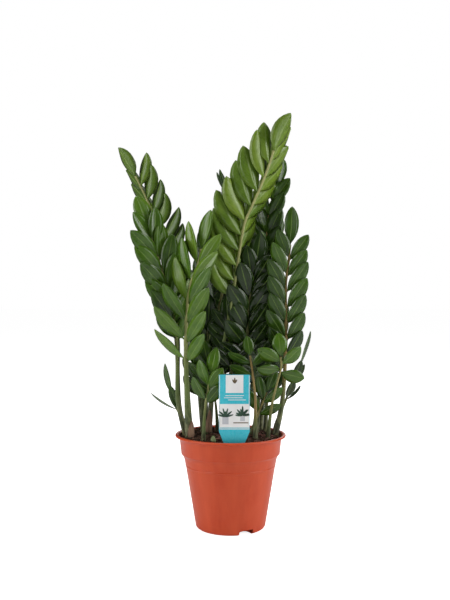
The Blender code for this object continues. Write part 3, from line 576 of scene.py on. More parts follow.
def copies_joined(name, placed):
    """Copies of shapes, each with its own mesh, at their matrices, joined into one piece."""
    made = []
    for shape, matrix in placed:
        copy = shape.copy()
        copy.data = shape.data.copy()
        copy.data.transform(matrix)
        bpy.context.collection.objects.link(copy)
        made.append(copy)
    return joined(name, made)


FULL_TURN = 6.28


def turn_of(draw):
    spin = Matrix.Rotation(draw.uniform(0, FULL_TURN), 4, "Z")
    return spin @ Matrix.Rotation(draw.uniform(-0.6, 0.6), 4, "X")


def beside_label(x):
    return LABEL_SIDES[0] < x < LABEL_SIDES[1]


def stretched(draw, size, longest):
    """A crumb's size as a matrix, with its length and its height drawn at random."""
    return Matrix.Diagonal((size * draw.uniform(0.8, longest), size, size * draw.uniform(0.5, 0.9), 1))


def crumb_at(draw, x, y, lift, stretch):
    """One of the balls, and its place."""
    return draw.choice(balls), Matrix.Translation((x, y, lift)) @ turn_of(draw) @ stretch


CRUMB_COUNT, CRUMB_REACH, CRUMB_LIFT = 460, 75.0 * MM, 1.5 * MM
BANK_COUNT, BANK_RISE = 330, 5.5 * MM
BANK_INNER, BANK_OUTER = 68 * MM, 78 * MM
LABEL_SIDES = (-20 * MM, 36 * MM)  # left and right end of the stretch that the care label needs
LABEL_FRONT = -68 * MM             # nothing lies in front of this there

draw = random.Random(7)
balls = [shaken_ball("crumb_a", 0.25, 1), shaken_ball("crumb_b", 0.4, 2), shaken_ball("crumb_c", 0.55, 3)]
placed = []
for k in range(CRUMB_COUNT):
    away = CRUMB_REACH * math.sqrt(draw.random())
    angle = draw.uniform(0, 2 * math.pi)
    size = draw.choice((0.8, 1.1, 1.5, 2.1)) * MM * draw.uniform(0.8, 1.2)
    x, y = away * math.cos(angle), away * math.sin(angle)
    lift = soil_height(x, y) + size * draw.uniform(0.3, 1.0) + CRUMB_LIFT
    placed.append(crumb_at(draw, x, y, lift, stretched(draw, size, 1.6)))
for k in range(BANK_COUNT):
    share = math.sqrt(draw.random())
    away = BANK_INNER + (BANK_OUTER - BANK_INNER) * share
    angle = draw.uniform(0, 2 * math.pi)
    size = draw.choice((0.9, 1.3, 1.8)) * MM * draw.uniform(0.8, 1.2)
    x, y = away * math.cos(angle), away * math.sin(angle)
    lift = soil_height(x, y) + BANK_RISE * share * draw.uniform(0.1, 1.0)
    stretch = stretched(draw, size, 1.7)
    if y > 0 or not beside_label(x):
        placed.append(crumb_at(draw, x, y, lift, stretch))
clear = [(ball, place) for ball, place in placed
         if place.translation.y > LABEL_FRONT or not beside_label(place.translation.x)]
print("crumbs:", len(placed), "kept:", len(clear))
crumbs = copies_joined("soil_crumbs", clear)
drop(*balls)
crumbs.data.materials.append(peat)
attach(crumbs, "root")
print("crumb faces:", len(crumbs.data.polygons))

# %% [markdown]
# ## Fronds
#
# A frond is one grown piece: a petiole that is swollen and mottled at its foot, a rachis, and two rows of
# leaflets with one more at the tip. The measured model holds each leaflet as a simple faceted blade. Its
# place, direction, size and fold can all be read from the five corners nearest its tip, so a finely shaped
# leaflet can be put exactly where each blade is, without repeating how the fronds grew.

# %% Read the leaflets from the measured fronds
LAST_SECTION = 0.76          # share of a blade's length where its last cross-section is
SECTION_WIDTH = 0.84         # share of its full width there
BLADE_BEND = 0.10            # how far a blade's tip curls back, as a share of its length
EDGE_THICKNESS = 0.0006      # a corner this near to an outermost one belongs to the same edge
TIP_ANGLE = math.radians(200)    # the angles round a blade's tip add up to less than this
MERGE = 2e-6                 # points nearer than this become one


def merged_copy(node):
    """The points of a CAD node, with the corners of its loose triangles merged."""
    bm = bmesh.new()
    bm.from_mesh(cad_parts[node].data)
    bmesh.ops.remove_doubles(bm, verts=bm.verts, dist=MERGE)
    return bm


def sharpness(vert):
    """The angles round a point added up: a full turn where it is flat, and little at a blade's tip."""
    return sum(loop.calc_angle() for loop in vert.link_loops)


def middle_of(points):
    return sum(points, Vector()) / len(points)


def blade_at(tip, corners):
    """Base, length, full width, direction, across and normal of the blade that ends at this tip."""
    pairs = [((a - b).length, a, b) for k, a in enumerate(corners) for b in corners[k + 1:]]
    _, left, right = max(pairs, key=lambda pair: pair[0])
    off_edge = [min((c - left).length, (c - right).length) for c in corners]
    edges = [c for c, off in zip(corners, off_edge) if off < EDGE_THICKNESS]
    ridge = [c for c, off in zip(corners, off_edge) if off >= EDGE_THICKNESS]
    if len(ridge) != 2:
        return None
    middle = middle_of(ridge)
    normal = (ridge[0] - ridge[1]).normalized()
    if normal.dot(middle_of(edges) - middle) < 0:
        normal.negate()
    reach = tip - middle
    level = reach - normal * reach.dot(normal)
    length = level.length / (1 - LAST_SECTION)
    direction = level.normalized()
    base = middle - direction * (LAST_SECTION * length) + normal * (BLADE_BEND * length * LAST_SECTION ** 2)
    across = direction.cross(normal).normalized()
    return dict(base=base, length=length, width=(left - right).length / SECTION_WIDTH,
                direction=direction, across=across, normal=normal)


def blades_of(node):
    bm = merged_copy(node)
    found = []
    for vert in bm.verts:
        if sharpness(vert) < TIP_ANGLE:
            blade = blade_at(vert.co.copy(), [edge.other_vert(vert).co.copy() for edge in vert.link_edges])
            if blade:
                found.append(blade)
    bm.free()
    return sorted(found, key=lambda blade: blade["base"].z)


FROND_NODES = sorted(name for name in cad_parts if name.startswith("frond_"))
BLADES = {name: blades_of(name) for name in FROND_NODES}
print("leaflets:", sum(len(blades) for blades in BLADES.values()), "on", len(BLADES), "fronds")

# %% [markdown]
# One leaflet is modelled, from a grid that lies flat. Its rows are moved and narrowed to the leaflet's
# outline: a short stalk, the widest place just below the middle, and a drawn-out point. Its halves are
# lifted into the shallow valley that a leaflet of a ZZ plant has, and its rows are dropped towards the tip
# so that it arches. A copy of the sheet, turned over and sunk a little, makes the paler underside. The grid
# is coarse on purpose, because the plant has hundreds of leaflets; smooth shading rounds it.

# %% Shape one leaflet
LEAF_COLUMNS = 4
LEAF_ROWS = ((0.0, 0.10), (0.05, 0.14), (0.12, 0.40), (0.23, 0.74), (0.36, 0.99), (0.50, 1.09), (0.64, 1.07),
             (0.77, 0.90), (0.88, 0.62), (0.96, 0.29), (1.0, 0.01))     # place along the leaflet, width there
VALLEY = ((0.25, 0.062), (0.5, 0.085))     # place across the leaflet, lift there
LEAF_THICKNESS = 0.06
TIP_MERGE = 0.004
PER_ROW = LEAF_COLUMNS + 1
SHEET_POINTS = PER_ROW * len(LEAF_ROWS)


def shape_leaflet(name, valley, arch, twist, wave):
    """A leaflet of length and width 1 along +Y, with its stalk at the origin and its face up."""
    pick_nothing()
    bpy.ops.mesh.primitive_grid_add(x_subdivisions=LEAF_COLUMNS, y_subdivisions=len(LEAF_ROWS) - 1, size=1)
    leaf = bpy.context.active_object
    leaf.name = name
    in_edit_mode(leaf)
    for column, lift in VALLEY:
        select_points(leaf, lambda v: abs(abs(v.co.x) - column) < 0.01)
        bpy.ops.transform.translate(value=(0, 0, lift * valley))
    for k, (along, wide) in enumerate(LEAF_ROWS):
        select_points(leaf, lambda v: v.index // PER_ROW == k)
        old_place = k / (len(LEAF_ROWS) - 1) - 0.5
        bpy.ops.transform.resize(value=(wide, 1, wide), center_override=(0, old_place, 0))
        bpy.ops.transform.rotate(value=twist * along, orient_axis="Y", center_override=(0, old_place, 0))
        ripple = wave * math.sin(9.0 * along)
        bpy.ops.transform.translate(value=(0, along - old_place, ripple - arch * along ** 2))
    bpy.ops.mesh.select_all(action="SELECT")
    bpy.ops.mesh.duplicate()
    bpy.ops.mesh.flip_normals()
    return leaf


def is_inner(vert):
    """A point of the underside that is not on the leaflet's edge."""
    row, column = divmod(vert.index - SHEET_POINTS, PER_ROW)
    return vert.index >= SHEET_POINTS and 0 < row < len(LEAF_ROWS) - 1 and 0 < column < LEAF_COLUMNS


def close_leaflet(leaf, upper, lower):
    """Gives the two sheets their finishes, sinks the underside and joins the edges."""
    leaf.data.materials.append(upper)
    leaf.data.materials.append(lower)
    leaf.active_material_index = 1
    bpy.ops.object.material_slot_assign()
    select_points(leaf, is_inner)
    bpy.ops.transform.translate(value=(0, 0, -LEAF_THICKNESS))
    bpy.ops.mesh.select_all(action="SELECT")
    bpy.ops.mesh.remove_doubles(threshold=TIP_MERGE)
    object_mode()
    bpy.ops.object.shade_smooth()
    leaf.data.attributes.new("tone", "FLOAT", "POINT")


# %% [markdown]
# A leaflet's face is glossy and marked by a pale midrib, with veins that leave it at a slant and hardly show.
# Both sides share this marking, so it is a node group. It follows the leaflet through its UV map: u runs
# across, v from the stalk to the tip.

# %% The leaf marking group
VEIN_SLANT, VEIN_RATE = 0.55, 95.0
marking, inside, outside = effect_group("leaf_marking", (("Midrib Width", 0.05),),
                                        ("Midrib", "Veins", "Margin"))
split = add_node(marking, "SeparateXYZ", Vector=add_node(marking, "TexCoord").outputs["UV"])
off_middle = maths(marking, "ABSOLUTE", maths(marking, "SUBTRACT", split.outputs["X"], 0.5))
in_widths = maths(marking, "DIVIDE", off_middle, inside.outputs["Midrib Width"])
fading = remap(marking, split.outputs["Y"], 0.55, 1.0, 1.0, 0.25)
rib = maths(marking, "MULTIPLY", remap(marking, in_widths, 1.0, 0.2), fading)
marking.links.new(rib, outside.inputs["Midrib"])
slant = maths(marking, "SUBTRACT", split.outputs["Y"], maths(marking, "MULTIPLY", off_middle, VEIN_SLANT))
wave = maths(marking, "SINE", maths(marking, "MULTIPLY", slant, VEIN_RATE))
marking.links.new(remap(marking, wave, 0.55, 1.0), outside.inputs["Veins"])
marking.links.new(remap(marking, off_middle, 0.455, 0.5), outside.inputs["Margin"])


MARGIN_SHARE = 0.3


def leaf_finish(name, stops, roughness, rib_colour, rib_share, vein_share):
    """A leaflet's finish: its colour follows the tone that each leaflet carries."""
    def share_of(mark, share):
        return maths(tree, "MULTIPLY", marks.outputs[mark], share)

    mat, tree, shader = finish_of(name, roughness, Specular_IOR_Level=0.36)
    tone = add_node(tree, "Attribute", {"attribute_name": "tone"}).outputs["Fac"]
    cloud, grain = mottled(tree, 16, softness=0.8)
    uneven = maths(tree, "ADD", tone, maths(tree, "MULTIPLY", maths(tree, "SUBTRACT", cloud, 0.5), 0.14))
    marks = tree.nodes.new("ShaderNodeGroup")
    marks.node_tree = marking
    base = ramp(tree, uneven, stops)
    veined = blend_colours(tree, share_of("Veins", vein_share), base, rib_colour)
    edged = blend_colours(tree, share_of("Margin", MARGIN_SHARE), veined, rib_colour)
    ribbed = blend_colours(tree, share_of("Midrib", rib_share), edged, rib_colour)
    plug(tree, shader.inputs["Base Color"], ribbed)
    plug(tree, shader.inputs["Roughness"], remap(tree, cloud, 0, 1, roughness - 0.05, roughness + 0.07))
    relief = maths(tree, "SUBTRACT", maths(tree, "MULTIPLY", grain, 0.4), marks.outputs["Midrib"])
    raise_bumps(tree, shader, relief, 0.00025, 0.7)
    return mat


LEAF_TONES = ((0.0, (0.005, 0.013, 0.002)), (0.3, (0.013, 0.036, 0.003)), (0.55, (0.052, 0.120, 0.008)),
              (0.8, (0.145, 0.240, 0.022)), (1.0, (0.30, 0.38, 0.07)))
UNDER_TONES = ((0.0, (0.009, 0.021, 0.004)), (0.35, (0.028, 0.062, 0.010)), (0.6, (0.080, 0.146, 0.009)),
               (0.85, (0.185, 0.265, 0.027)), (1.0, (0.30, 0.37, 0.10)))
leaf_face = leaf_finish("leaf_face", LEAF_TONES, 0.17, (0.17, 0.27, 0.055), 0.5, 0.08)
leaf_under = leaf_finish("leaf_underside", UNDER_TONES, 0.28, (0.24, 0.33, 0.10), 0.5, 0.12)

# %% [markdown]
# Four leaflets are enough, because each is stretched and turned to its own place. They differ in how deeply
# they fold, how far they arch, how much they twist, and whether the blade ripples along its length.

# %% Four leaflets that differ a little
# name, depth of the valley, arch, twist and wave
HABITS = (("leaflet_plain", 1.0, 0.26, 0.0, 0.0), ("leaflet_folded", 1.7, 0.18, 0.12, 0.0),
          ("leaflet_arched", 0.9, 0.38, -0.15, 0.0), ("leaflet_wavy", 1.2, 0.24, 0.25, 0.02))
LEAFLET_SHAPES = []
for name, valley, arch, twist, wave in HABITS:
    leaf = shape_leaflet(name, valley, arch, twist, wave)
    close_leaflet(leaf, leaf_face, leaf_under)
    LEAFLET_SHAPES.append(leaf)
    print(name, "faces:", len(leaf.data.polygons), "points:", len(leaf.data.vertices))

# %% [markdown]
# Every frond has its own age, and with it its own green: young ones are light and yellowish, old ones darker.
# The fronds in the middle and at the back are nearly black-green, which is painted shade, and leaflets near
# the tip are a little lighter than those below. Each leaflet carries its tone as an attribute, so one finish
# serves them all.

# %% Put the leaflets on
# the lowest tones, on the fronds in the middle and at the back, are painted shade; the others are each
# frond's own green
FROND_TONES_AND_SHADE = {
    "frond_right_tall": 0.64, "frond_left_tall": 0.50, "frond_left_second": 0.48, "frond_front_pale": 0.59,
    "frond_far_right": 0.41, "frond_right_second": 0.38, "frond_centre_dark": 0.17, "frond_edgewise": 0.34,
    "frond_centre_low": 0.46, "frond_right_low": 0.50, "frond_front_low": 0.53, "frond_far_right_thin": 0.28,
    "frond_left_low": 0.38, "frond_mid_low": 0.34, "frond_right_mid": 0.34, "frond_back_low": 0.20,
    "frond_front_right_low": 0.46, "frond_back_left": 0.24, "frond_back_right": 0.24,
    "frond_back_centre": 0.22,
    "frond_inner_left": 0.20, "frond_inner_centre": 0.18, "frond_inner_right": 0.22,
}
TONE_RISE, TONE_SPREAD = 0.10, 0.09


def leaflet_place(blade):
    """The matrix that carries the modelled leaflet onto a measured blade."""
    across = blade["across"] * blade["width"]
    along = blade["direction"] * blade["length"]
    up = blade["normal"] * blade["width"]
    matrix = Matrix.Identity(4)
    for column, vector in enumerate((across, along, up, blade["base"])):
        for row in range(3):
            matrix[row][column] = vector[row]
    return matrix


def put_leaflets_on(node, blades, draw):
    """One piece with all the leaflets of a frond, each with a tone of its own."""
    placed, tones = [], []
    for k, blade in enumerate(blades):
        placed.append((draw.choice(LEAFLET_SHAPES), leaflet_place(blade)))
        rise = TONE_RISE * (k / len(blades) - 0.5)
        tones.append(FROND_TONES_AND_SHADE[node] + rise + draw.uniform(-TONE_SPREAD, TONE_SPREAD))
    piece = copies_joined(node.replace("frond", "leaflets"), placed)
    values = []
    for (shape, _), tone in zip(placed, tones):
        values += [tone] * len(shape.data.vertices)
    piece.data.attributes["tone"].data.foreach_set("value", values)
    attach(piece, "root")
    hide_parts(node)
    return piece


draw = random.Random(21)
leaflet_pieces = [put_leaflets_on(node, BLADES[node], draw) for node in FROND_NODES]
drop(*LEAFLET_SHAPES)
print("leaflet pieces:", len(leaflet_pieces), "faces:", sum(len(p.data.polygons) for p in leaflet_pieces))

# %% [markdown]
# ## Petioles and rachises
#
# The stem of a frond is thick and mottled where it leaves the soil, and thins out quickly upwards. A curve
# with a round bevel does this well, because each of its points has a radius of its own. The points are those
# that the measured stems were drawn through, in millimetres, and a smooth curve through them is sampled
# every few millimetres. Small swellings mark where leaflets sit.

# %% The ways of the stems
STEMS = {
    "frond_right_tall": dict(foot=5.0, top=1.6, rust=0.1, way=(
        (-34, -2, 147), (-27, -6, 221), (-13, -12, 276), (4, -22, 368), (19, -32, 462), (31, -34, 494),
        (44, -36, 523), (56, -36, 553), (65, -36, 581))),
    "frond_left_tall": dict(foot=4.8, top=1.5, rust=0.1, way=(
        (-69, 8, 143), (-80, 10, 183), (-83, 14, 239), (-83, 18, 298), (-93, 22, 377), (-107, 26, 444),
        (-122, 28, 489), (-140, 30, 529), (-152, 30, 553))),
    "frond_left_second": dict(foot=4.8, top=1.6, rust=0.1, way=(
        (-69, -8, 143), (-81, -16, 199), (-82, -22, 261), (-86, -28, 323), (-98, -34, 376),
        (-110, -40, 421), (-123, -44, 461))),
    "frond_front_pale": dict(foot=7.0, top=1.8, rust=0.1, way=(
        (-63, -25, 143), (-66, -30, 208), (-68, -36, 277), (-66, -42, 338), (-61, -46, 376),
        (-50, -50, 404), (-44, -52, 431))),
    "frond_far_right": dict(foot=5.0, top=1.7, rust=0.6, way=(
        (69, -8, 143), (80, -10, 198), (85, -14, 276), (85, -18, 338), (85, -20, 381), (89, -22, 414),
        (91, -22, 439))),
    "frond_right_second": dict(foot=4.6, top=1.6, rust=0.7, way=(
        (15, 30, 147), (33, 30, 209), (44, 28, 289), (52, 26, 369), (57, 24, 433), (61, 20, 488),
        (72, 16, 533))),
    "frond_centre_dark": dict(foot=4.6, top=1.6, rust=0.1, way=(
        (24, 5, 147), (26, 0, 228), (26, -6, 291), (27, -10, 338), (33, -14, 376), (38, -16, 405))),
    "frond_edgewise": dict(foot=4.4, top=1.5, rust=0.2, way=(
        (-39, 25, 146), (-39, 25, 241), (-31, 26, 297), (-18, 28, 345), (-7, 30, 393), (3, 32, 441),
        (9, 32, 489), (8, 30, 529))),
    "frond_centre_low": dict(foot=4.4, top=1.3, rust=0.7, way=(
        (37, -42, 143), (37, -43, 202), (33, -45, 242), (29, -46, 269))),
    "frond_right_low": dict(foot=3.8, top=1.4, rust=0.3, way=(
        (56, -34, 143), (62, -38, 194), (71, -42, 233), (76, -44, 254), (75, -46, 269))),
    "frond_front_low": dict(foot=3.8, top=1.3, rust=0.1, way=(
        (-41, -50, 144), (-39, -53, 186), (-35, -55, 216), (-30, -55, 243))),
    "frond_far_right_thin": dict(foot=3.2, top=1.2, rust=0.1, way=(
        (67, 14, 143), (84, 17, 187), (96, 19, 217), (107, 20, 245))),
    "frond_left_low": dict(foot=3.6, top=1.3, rust=0.1, way=(
        (-60, 30, 143), (-80, 34, 170), (-90, 36, 187), (-94, 37, 202))),
    "frond_mid_low": dict(foot=3.6, top=1.3, rust=0.1, way=(
        (-20, 10, 146), (-23, 8, 188), (-29, 4, 228), (-34, 0, 250))),
    "frond_right_mid": dict(foot=4.0, top=1.4, rust=0.4, way=(
        (55, 14, 144), (58, 12, 211), (60, 6, 275), (65, 2, 325))),
    "frond_back_low": dict(foot=4.0, top=1.4, rust=0.1, way=(
        (-6, 33, 148), (-10, 36, 216), (-17, 40, 272), (-20, 42, 313))),
    "frond_front_right_low": dict(foot=3.4, top=1.2, rust=0.4, way=(
        (29, -21, 145), (44, -25, 184), (55, -27, 212))),
    "frond_inner_left": dict(foot=3.8, top=1.4, rust=0.1, way=(
        (-44, 11, 146), (-43, 9, 205), (-39, 8, 262), (-35, 6, 318))),
    "frond_inner_centre": dict(foot=3.8, top=1.4, rust=0.1, way=(
        (6, -10, 148), (4, -8, 205), (0, -4, 262), (-4, 2, 318))),
    "frond_inner_right": dict(foot=3.8, top=1.4, rust=0.1, way=(
        (41, -6, 146), (44, -4, 205), (42, 2, 262), (38, 8, 318))),
    "frond_back_left": dict(foot=4.8, top=1.6, rust=0.1, way=(
        (-44, 46, 144), (-51, 54, 223), (-50, 66, 304), (-42, 80, 378), (-34, 94, 446))),
    "frond_back_right": dict(foot=4.8, top=1.6, rust=0.1, way=(
        (48, 36, 145), (55, 46, 223), (57, 60, 304), (59, 76, 386), (67, 92, 467))),
    "frond_back_centre": dict(foot=4.8, top=1.6, rust=0.1, way=(
        (3, 52, 146), (1, 64, 238), (3, 80, 336), (8, 98, 429), (15, 112, 498))),
}


def smooth_way(points, count):
    """Points at even steps along a smooth curve through the given ones."""
    p = np.array(points, float)
    p = np.vstack([2 * p[0] - p[1], p, 2 * p[-1] - p[-2]])
    fine = []
    for i in range(1, len(p) - 2):
        a, b, c, d = p[i - 1:i + 3]
        for t in np.linspace(0, 1, 24, endpoint=False):
            fine.append(0.5 * (2 * b + (c - a) * t + (2 * a - 5 * b + 4 * c - d) * t**2
                               + (3 * b - a - 3 * c + d) * t**3))
    fine = np.array(fine + [p[-2]])
    run = np.concatenate([[0], np.cumsum(np.linalg.norm(np.diff(fine, axis=0), axis=1))])
    steps = np.linspace(0, run[-1], count)
    return np.array([[np.interp(s, run, fine[:, k]) for k in range(3)] for s in steps])

# %% [markdown]
# A stem swells a little at each node, which is where a leaflet sits, and its foot goes on into the soil.

# %% Draw the stems
STEM_TAPER = 2.4
STEM_POINTS = 72
FOOT_IN_SOIL = 6 * MM
NODE_REACH = 5 * MM
NODE_SWELLING = 0.22


def tube(name, points, radii, sides=2):
    """A closed tube with a radius of its own at each point. sides is the bevel's resolution."""
    curve = bpy.data.curves.new(name, "CURVE")
    curve.dimensions = "3D"
    curve.bevel_depth = MM
    curve.bevel_resolution = sides
    curve.use_fill_caps = True
    spline = curve.splines.new("POLY")
    spline.points.add(len(points) - 1)
    for point, place, radius in zip(spline.points, points, radii):
        point.co = (*place, 1)
        point.radius = radius / MM
    obj = bpy.data.objects.new(name, curve)
    bpy.context.collection.objects.link(obj)
    pick(obj)
    bpy.ops.object.convert(target="MESH")
    obj = bpy.context.active_object
    bpy.ops.object.mode_set(mode="EDIT")
    bpy.ops.mesh.select_all(action="SELECT")
    bpy.ops.mesh.remove_doubles(threshold=1e-6)
    bpy.ops.mesh.normals_make_consistent(inside=False)
    object_mode()
    bpy.ops.object.shade_smooth()
    return obj


def draw_stem(node, values, blades):
    way = [np.array(point, float) * MM for point in values["way"]]
    sink = soil_height(way[0][0], way[0][1]) - way[0][2]
    points = smooth_way([point + (0, 0, sink) for point in way], STEM_POINTS)
    bases = np.array([blade["base"] for blade in blades])
    radii = []
    for k, point in enumerate(points):
        share = k / (STEM_POINTS - 1)
        radius = values["top"] + (values["foot"] - values["top"]) * (1 - share) ** STEM_TAPER
        nearest = np.linalg.norm(bases - point, axis=1).min() - radius * MM
        swelling = NODE_SWELLING * max(0.0, 1 - max(nearest, 0) / NODE_REACH)
        radii.append(radius * MM * (1 + swelling * min(1.0, share * 2)))
    buried = points[0] - (points[1] - points[0]) / np.linalg.norm(points[1] - points[0]) * FOOT_IN_SOIL
    piece = tube(node.replace("frond", "stem"), [buried, *points], [radii[0] * 1.05, *radii])
    low, high = points[0][2], points[-1][2]
    heights = [min(max((v.co.z - low) / (high - low), 0), 1) for v in piece.data.vertices]
    for label, numbers in (("along", heights), ("rust", [values["rust"]] * len(heights)),
                           ("tone", [FROND_TONES_AND_SHADE[node]] * len(heights))):
        piece.data.attributes.new(label, "FLOAT", "POINT").data.foreach_set("value", numbers)
    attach(piece, "root")
    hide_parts(node)
    return piece


stem_pieces = [draw_stem(node, STEMS[node], BLADES[node]) for node in FROND_NODES]
print("stems:", len(stem_pieces), "faces:", sum(len(p.data.polygons) for p in stem_pieces))

# %% [markdown]
# A petiole is pale olive with dark upright blotches near the soil, and turns an even green further up. Some
# rachises blush to an orange brown. The stem carries two attributes for this: how far up a point is, and how
# much the frond blushes.

# %% Stem finish
stem_skin, tree, shader = finish_of("stem_skin", 0.42, Specular_IOR_Level=0.3)
along = add_node(tree, "Attribute", {"attribute_name": "along"}).outputs["Fac"]
rust = add_node(tree, "Attribute", {"attribute_name": "rust"}).outputs["Fac"]
tone = add_node(tree, "Attribute", {"attribute_name": "tone"}).outputs["Fac"]
blotch, grain = mottled(tree, 5, stretch=2.4, softness=0.25)
# the green follows the frond's tone, so the stems of the fronds in the middle and at the back carry the same
# painted shade
green = ramp(tree, tone, ((0.1, (0.026, 0.050, 0.013)), (0.5, (0.080, 0.125, 0.030)),
                          (0.9, (0.17, 0.24, 0.070))))
foot_colour = blend_colours(tree, blotch, (0.030, 0.034, 0.014), (0.155, 0.160, 0.075))
up_share = remap(tree, along, 0.02, 0.28)
skin = blend_colours(tree, up_share, foot_colour, green)
paling = maths(tree, "MULTIPLY", tone, remap(tree, along, 0.35, 0.75))
skin = blend_colours(tree, paling, skin, (0.40, 0.40, 0.16))
blush = maths(tree, "MULTIPLY", rust, remap(tree, along, 0.1, 0.45))
plug(tree, shader.inputs["Base Color"], blend_colours(tree, blush, skin, (0.33, 0.19, 0.065)))
plug(tree, shader.inputs["Roughness"], remap(tree, grain, 0.3, 0.7, 0.36, 0.5))
raise_bumps(tree, shader, grain, 0.0002)
for piece in stem_pieces:
    piece.data.materials.append(stem_skin)
print("stem finish on", len(stem_pieces), "pieces")

# %% [markdown]
# ## Small growth and litter
#
# Papery sheaths stand round some petioles, one new shoot has just broken the soil, and loose roots and
# flakes of bark lie about. The measured model has each of them as a coarse solid of the right size. A copy of
# such a solid, merged, turned back into quads and subdivided, keeps its size and gets soft forms, and a cloud
# pattern roughens the sheaths, the bark and the roots.

# %% Finer copies of the measured pieces
def finer_copy(node, name, mat, roughen=0.0, size=4 * MM):
    """A rounded copy of a measured piece. size is how wide the bumps of a rough one are."""
    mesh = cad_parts[node].data.copy()
    mesh.materials.clear()
    mesh.materials.append(mat)
    piece = bpy.data.objects.new(name, mesh)
    bpy.context.collection.objects.link(piece)
    in_edit_mode(piece)
    bpy.ops.mesh.select_all(action="SELECT")
    bpy.ops.mesh.remove_doubles(threshold=2e-6)
    bpy.ops.mesh.tris_convert_to_quads()
    bpy.ops.mesh.normals_make_consistent(inside=False)
    object_mode()
    finer = piece.modifiers.new("finer", "SUBSURF")
    finer.levels = finer.render_levels = 2
    if roughen:
        clouds = bpy.data.textures.new(name, "CLOUDS")
        clouds.noise_scale = size
        rough = piece.modifiers.new("rough", "DISPLACE")
        rough.texture = clouds
        rough.texture_coords = "LOCAL"
        rough.strength = roughen
        rough.mid_level = 0.6
    apply_modifiers(piece)
    bpy.ops.object.shade_smooth()
    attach(piece, "root")
    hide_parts(node)
    return piece

# %% [markdown]
# One function makes the finishes of the sheaths, the bark, the roots, the rhizomes and the shoot. Each has
# two colours, a roughness and a height of grain of its own.

# %% Dry sheath, bark, root and shoot finishes
def rough_finish(name, size, stretch, dark, light, roughness, bump):
    """A dry, fibrous finish: mottled between two colours, with a raised grain."""
    mat, tree, shader = finish_of(name, roughness)
    mask, grain = mottled(tree, size, stretch=stretch, softness=0.5)
    colour = blend_colours(tree, mask, dark, light)
    plug(tree, shader.inputs["Base Color"],
         blend_colours(tree, remap(tree, grain, 0.45, 0.75, 0, 0.5), colour, light))
    plug(tree, shader.inputs["Roughness"], remap(tree, grain, 0.3, 0.7, roughness - 0.1, roughness + 0.05))
    raise_bumps(tree, shader, grain, bump)
    return mat


dry_sheath = rough_finish("dry_sheath", 3, 6, (0.105, 0.040, 0.026), (0.32, 0.20, 0.12), 0.75, 0.0004)
bark_skin = rough_finish("bark", 2.5, 1, (0.050, 0.020, 0.012), (0.20, 0.10, 0.055), 0.9, 0.0006)
root_skin = rough_finish("dry_root", 4, 1, (0.11, 0.030, 0.024), (0.30, 0.13, 0.095), 0.7, 0.0002)
tuber_skin = rough_finish("rhizome_skin", 6, 0.4, (0.20, 0.12, 0.06), (0.46, 0.33, 0.19), 0.8, 0.0004)
shoot_skin = rough_finish("shoot_skin", 3, 4, (0.075, 0.115, 0.030), (0.23, 0.28, 0.11), 0.4, 0.0002)

for name in sorted(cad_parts):
    if name.startswith("sheath"):
        finer_copy(name, f"dry_{name}", dry_sheath, roughen=0.0007)
    elif name.startswith("bark"):
        finer_copy(name, name.replace("bark_bit", "bark_flake"), bark_skin, roughen=0.0022,
                   size=3 * MM)
    elif name.startswith("loose_root"):
        finer_copy(name, name.replace("loose", "dry"), root_skin, roughen=0.0006)
    elif name.startswith("rhizome"):
        repaint(name, tuber_skin)
finer_copy("new_shoot", "young_shoot", shoot_skin)
FINER_KINDS = ("sheath", "bark", "loose_root", "new_shoot")
print("pieces made finer:", sum(name.startswith(FINER_KINDS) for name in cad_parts))

# %% [markdown]
# Fine roots break the surface too, mostly on the right, where a frond's foot has pushed them up, and some
# have been swept against the rim. Each one is a thin tube through a few points of a seeded walk that follows
# the heap.

# %% Fine roots on the soil
ROOT_COUNT, ROOT_STRIDE = 70, 3.2 * MM
ROOT_REACH, SOIL_END = 74 * MM, 75.5 * MM


def walk_over_soil(draw, start, heading, steps):
    x, y = start
    points = []
    for _ in range(steps):
        points.append((x, y, soil_height(x, y) + draw.uniform(1.6, 4.2) * MM))
        heading += draw.uniform(-0.5, 0.5)
        x, y = x + ROOT_STRIDE * math.cos(heading), y + ROOT_STRIDE * math.sin(heading)
        if math.hypot(x, y) > SOIL_END:
            break
    return points


draw = random.Random(5)
roots = []
for k in range(ROOT_COUNT):
    on_right = k % 3
    angle = draw.uniform(-1.9, 0.1) if on_right else draw.uniform(0, FULL_TURN)
    away = ROOT_REACH * math.sqrt(draw.uniform(0.2, 1))
    start = (away * math.cos(angle), away * math.sin(angle))
    points = walk_over_soil(draw, start, draw.uniform(0, FULL_TURN), draw.randint(4, 8))
    if len(points) > 2:
        points = smooth_way(points, 3 * len(points))
        thin = draw.uniform(0.22, 0.5) * MM
        roots.append(tube(f"fine_root_{k}", points, [thin] * len(points), sides=0))
fine_roots = joined("fine_roots", roots)
fine_roots.data.materials.clear()
fine_roots.data.materials.append(root_skin)
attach(fine_roots, "root")
print("fine root faces:", len(fine_roots.data.polygons))

# %% [markdown]
# ## Care label
#
# The label is a printed plastic stake: a straight sheet that narrows at its shoulders to a point in the soil.
# Its sheet is a plane whose lower edge is drawn down and narrowed twice, which is how its outline is cut. The
# print is plain: a pale panel with a small leaf, a few rules where words would be, and a band with two potted
# plants. Each patch of print is a very thin sheet of its own, so that it stays crisp from near by.

# %% The label's sheet
HALF_WIDTH, TOP, SHOULDERS = 22.5, 101, 16      # the sheet in millimetres, from the rim up
NECK_SHARE, POINT_SHARE = 32 / 45, 4 / 32       # the width left at the rim, and what the point keeps of it
POINT_DEPTH = -42
LABEL_THICKNESS = 0.8 * MM
LABEL_LEAN = math.radians(8)
LABEL_CENTRE_X = 5 * MM
LABEL_CENTRE_Y = -74.02 * MM
label_place = (Matrix.Translation((LABEL_CENTRE_X, LABEL_CENTRE_Y, POT_HEIGHT))
               @ Matrix.Rotation(LABEL_LEAN, 4, "X"))


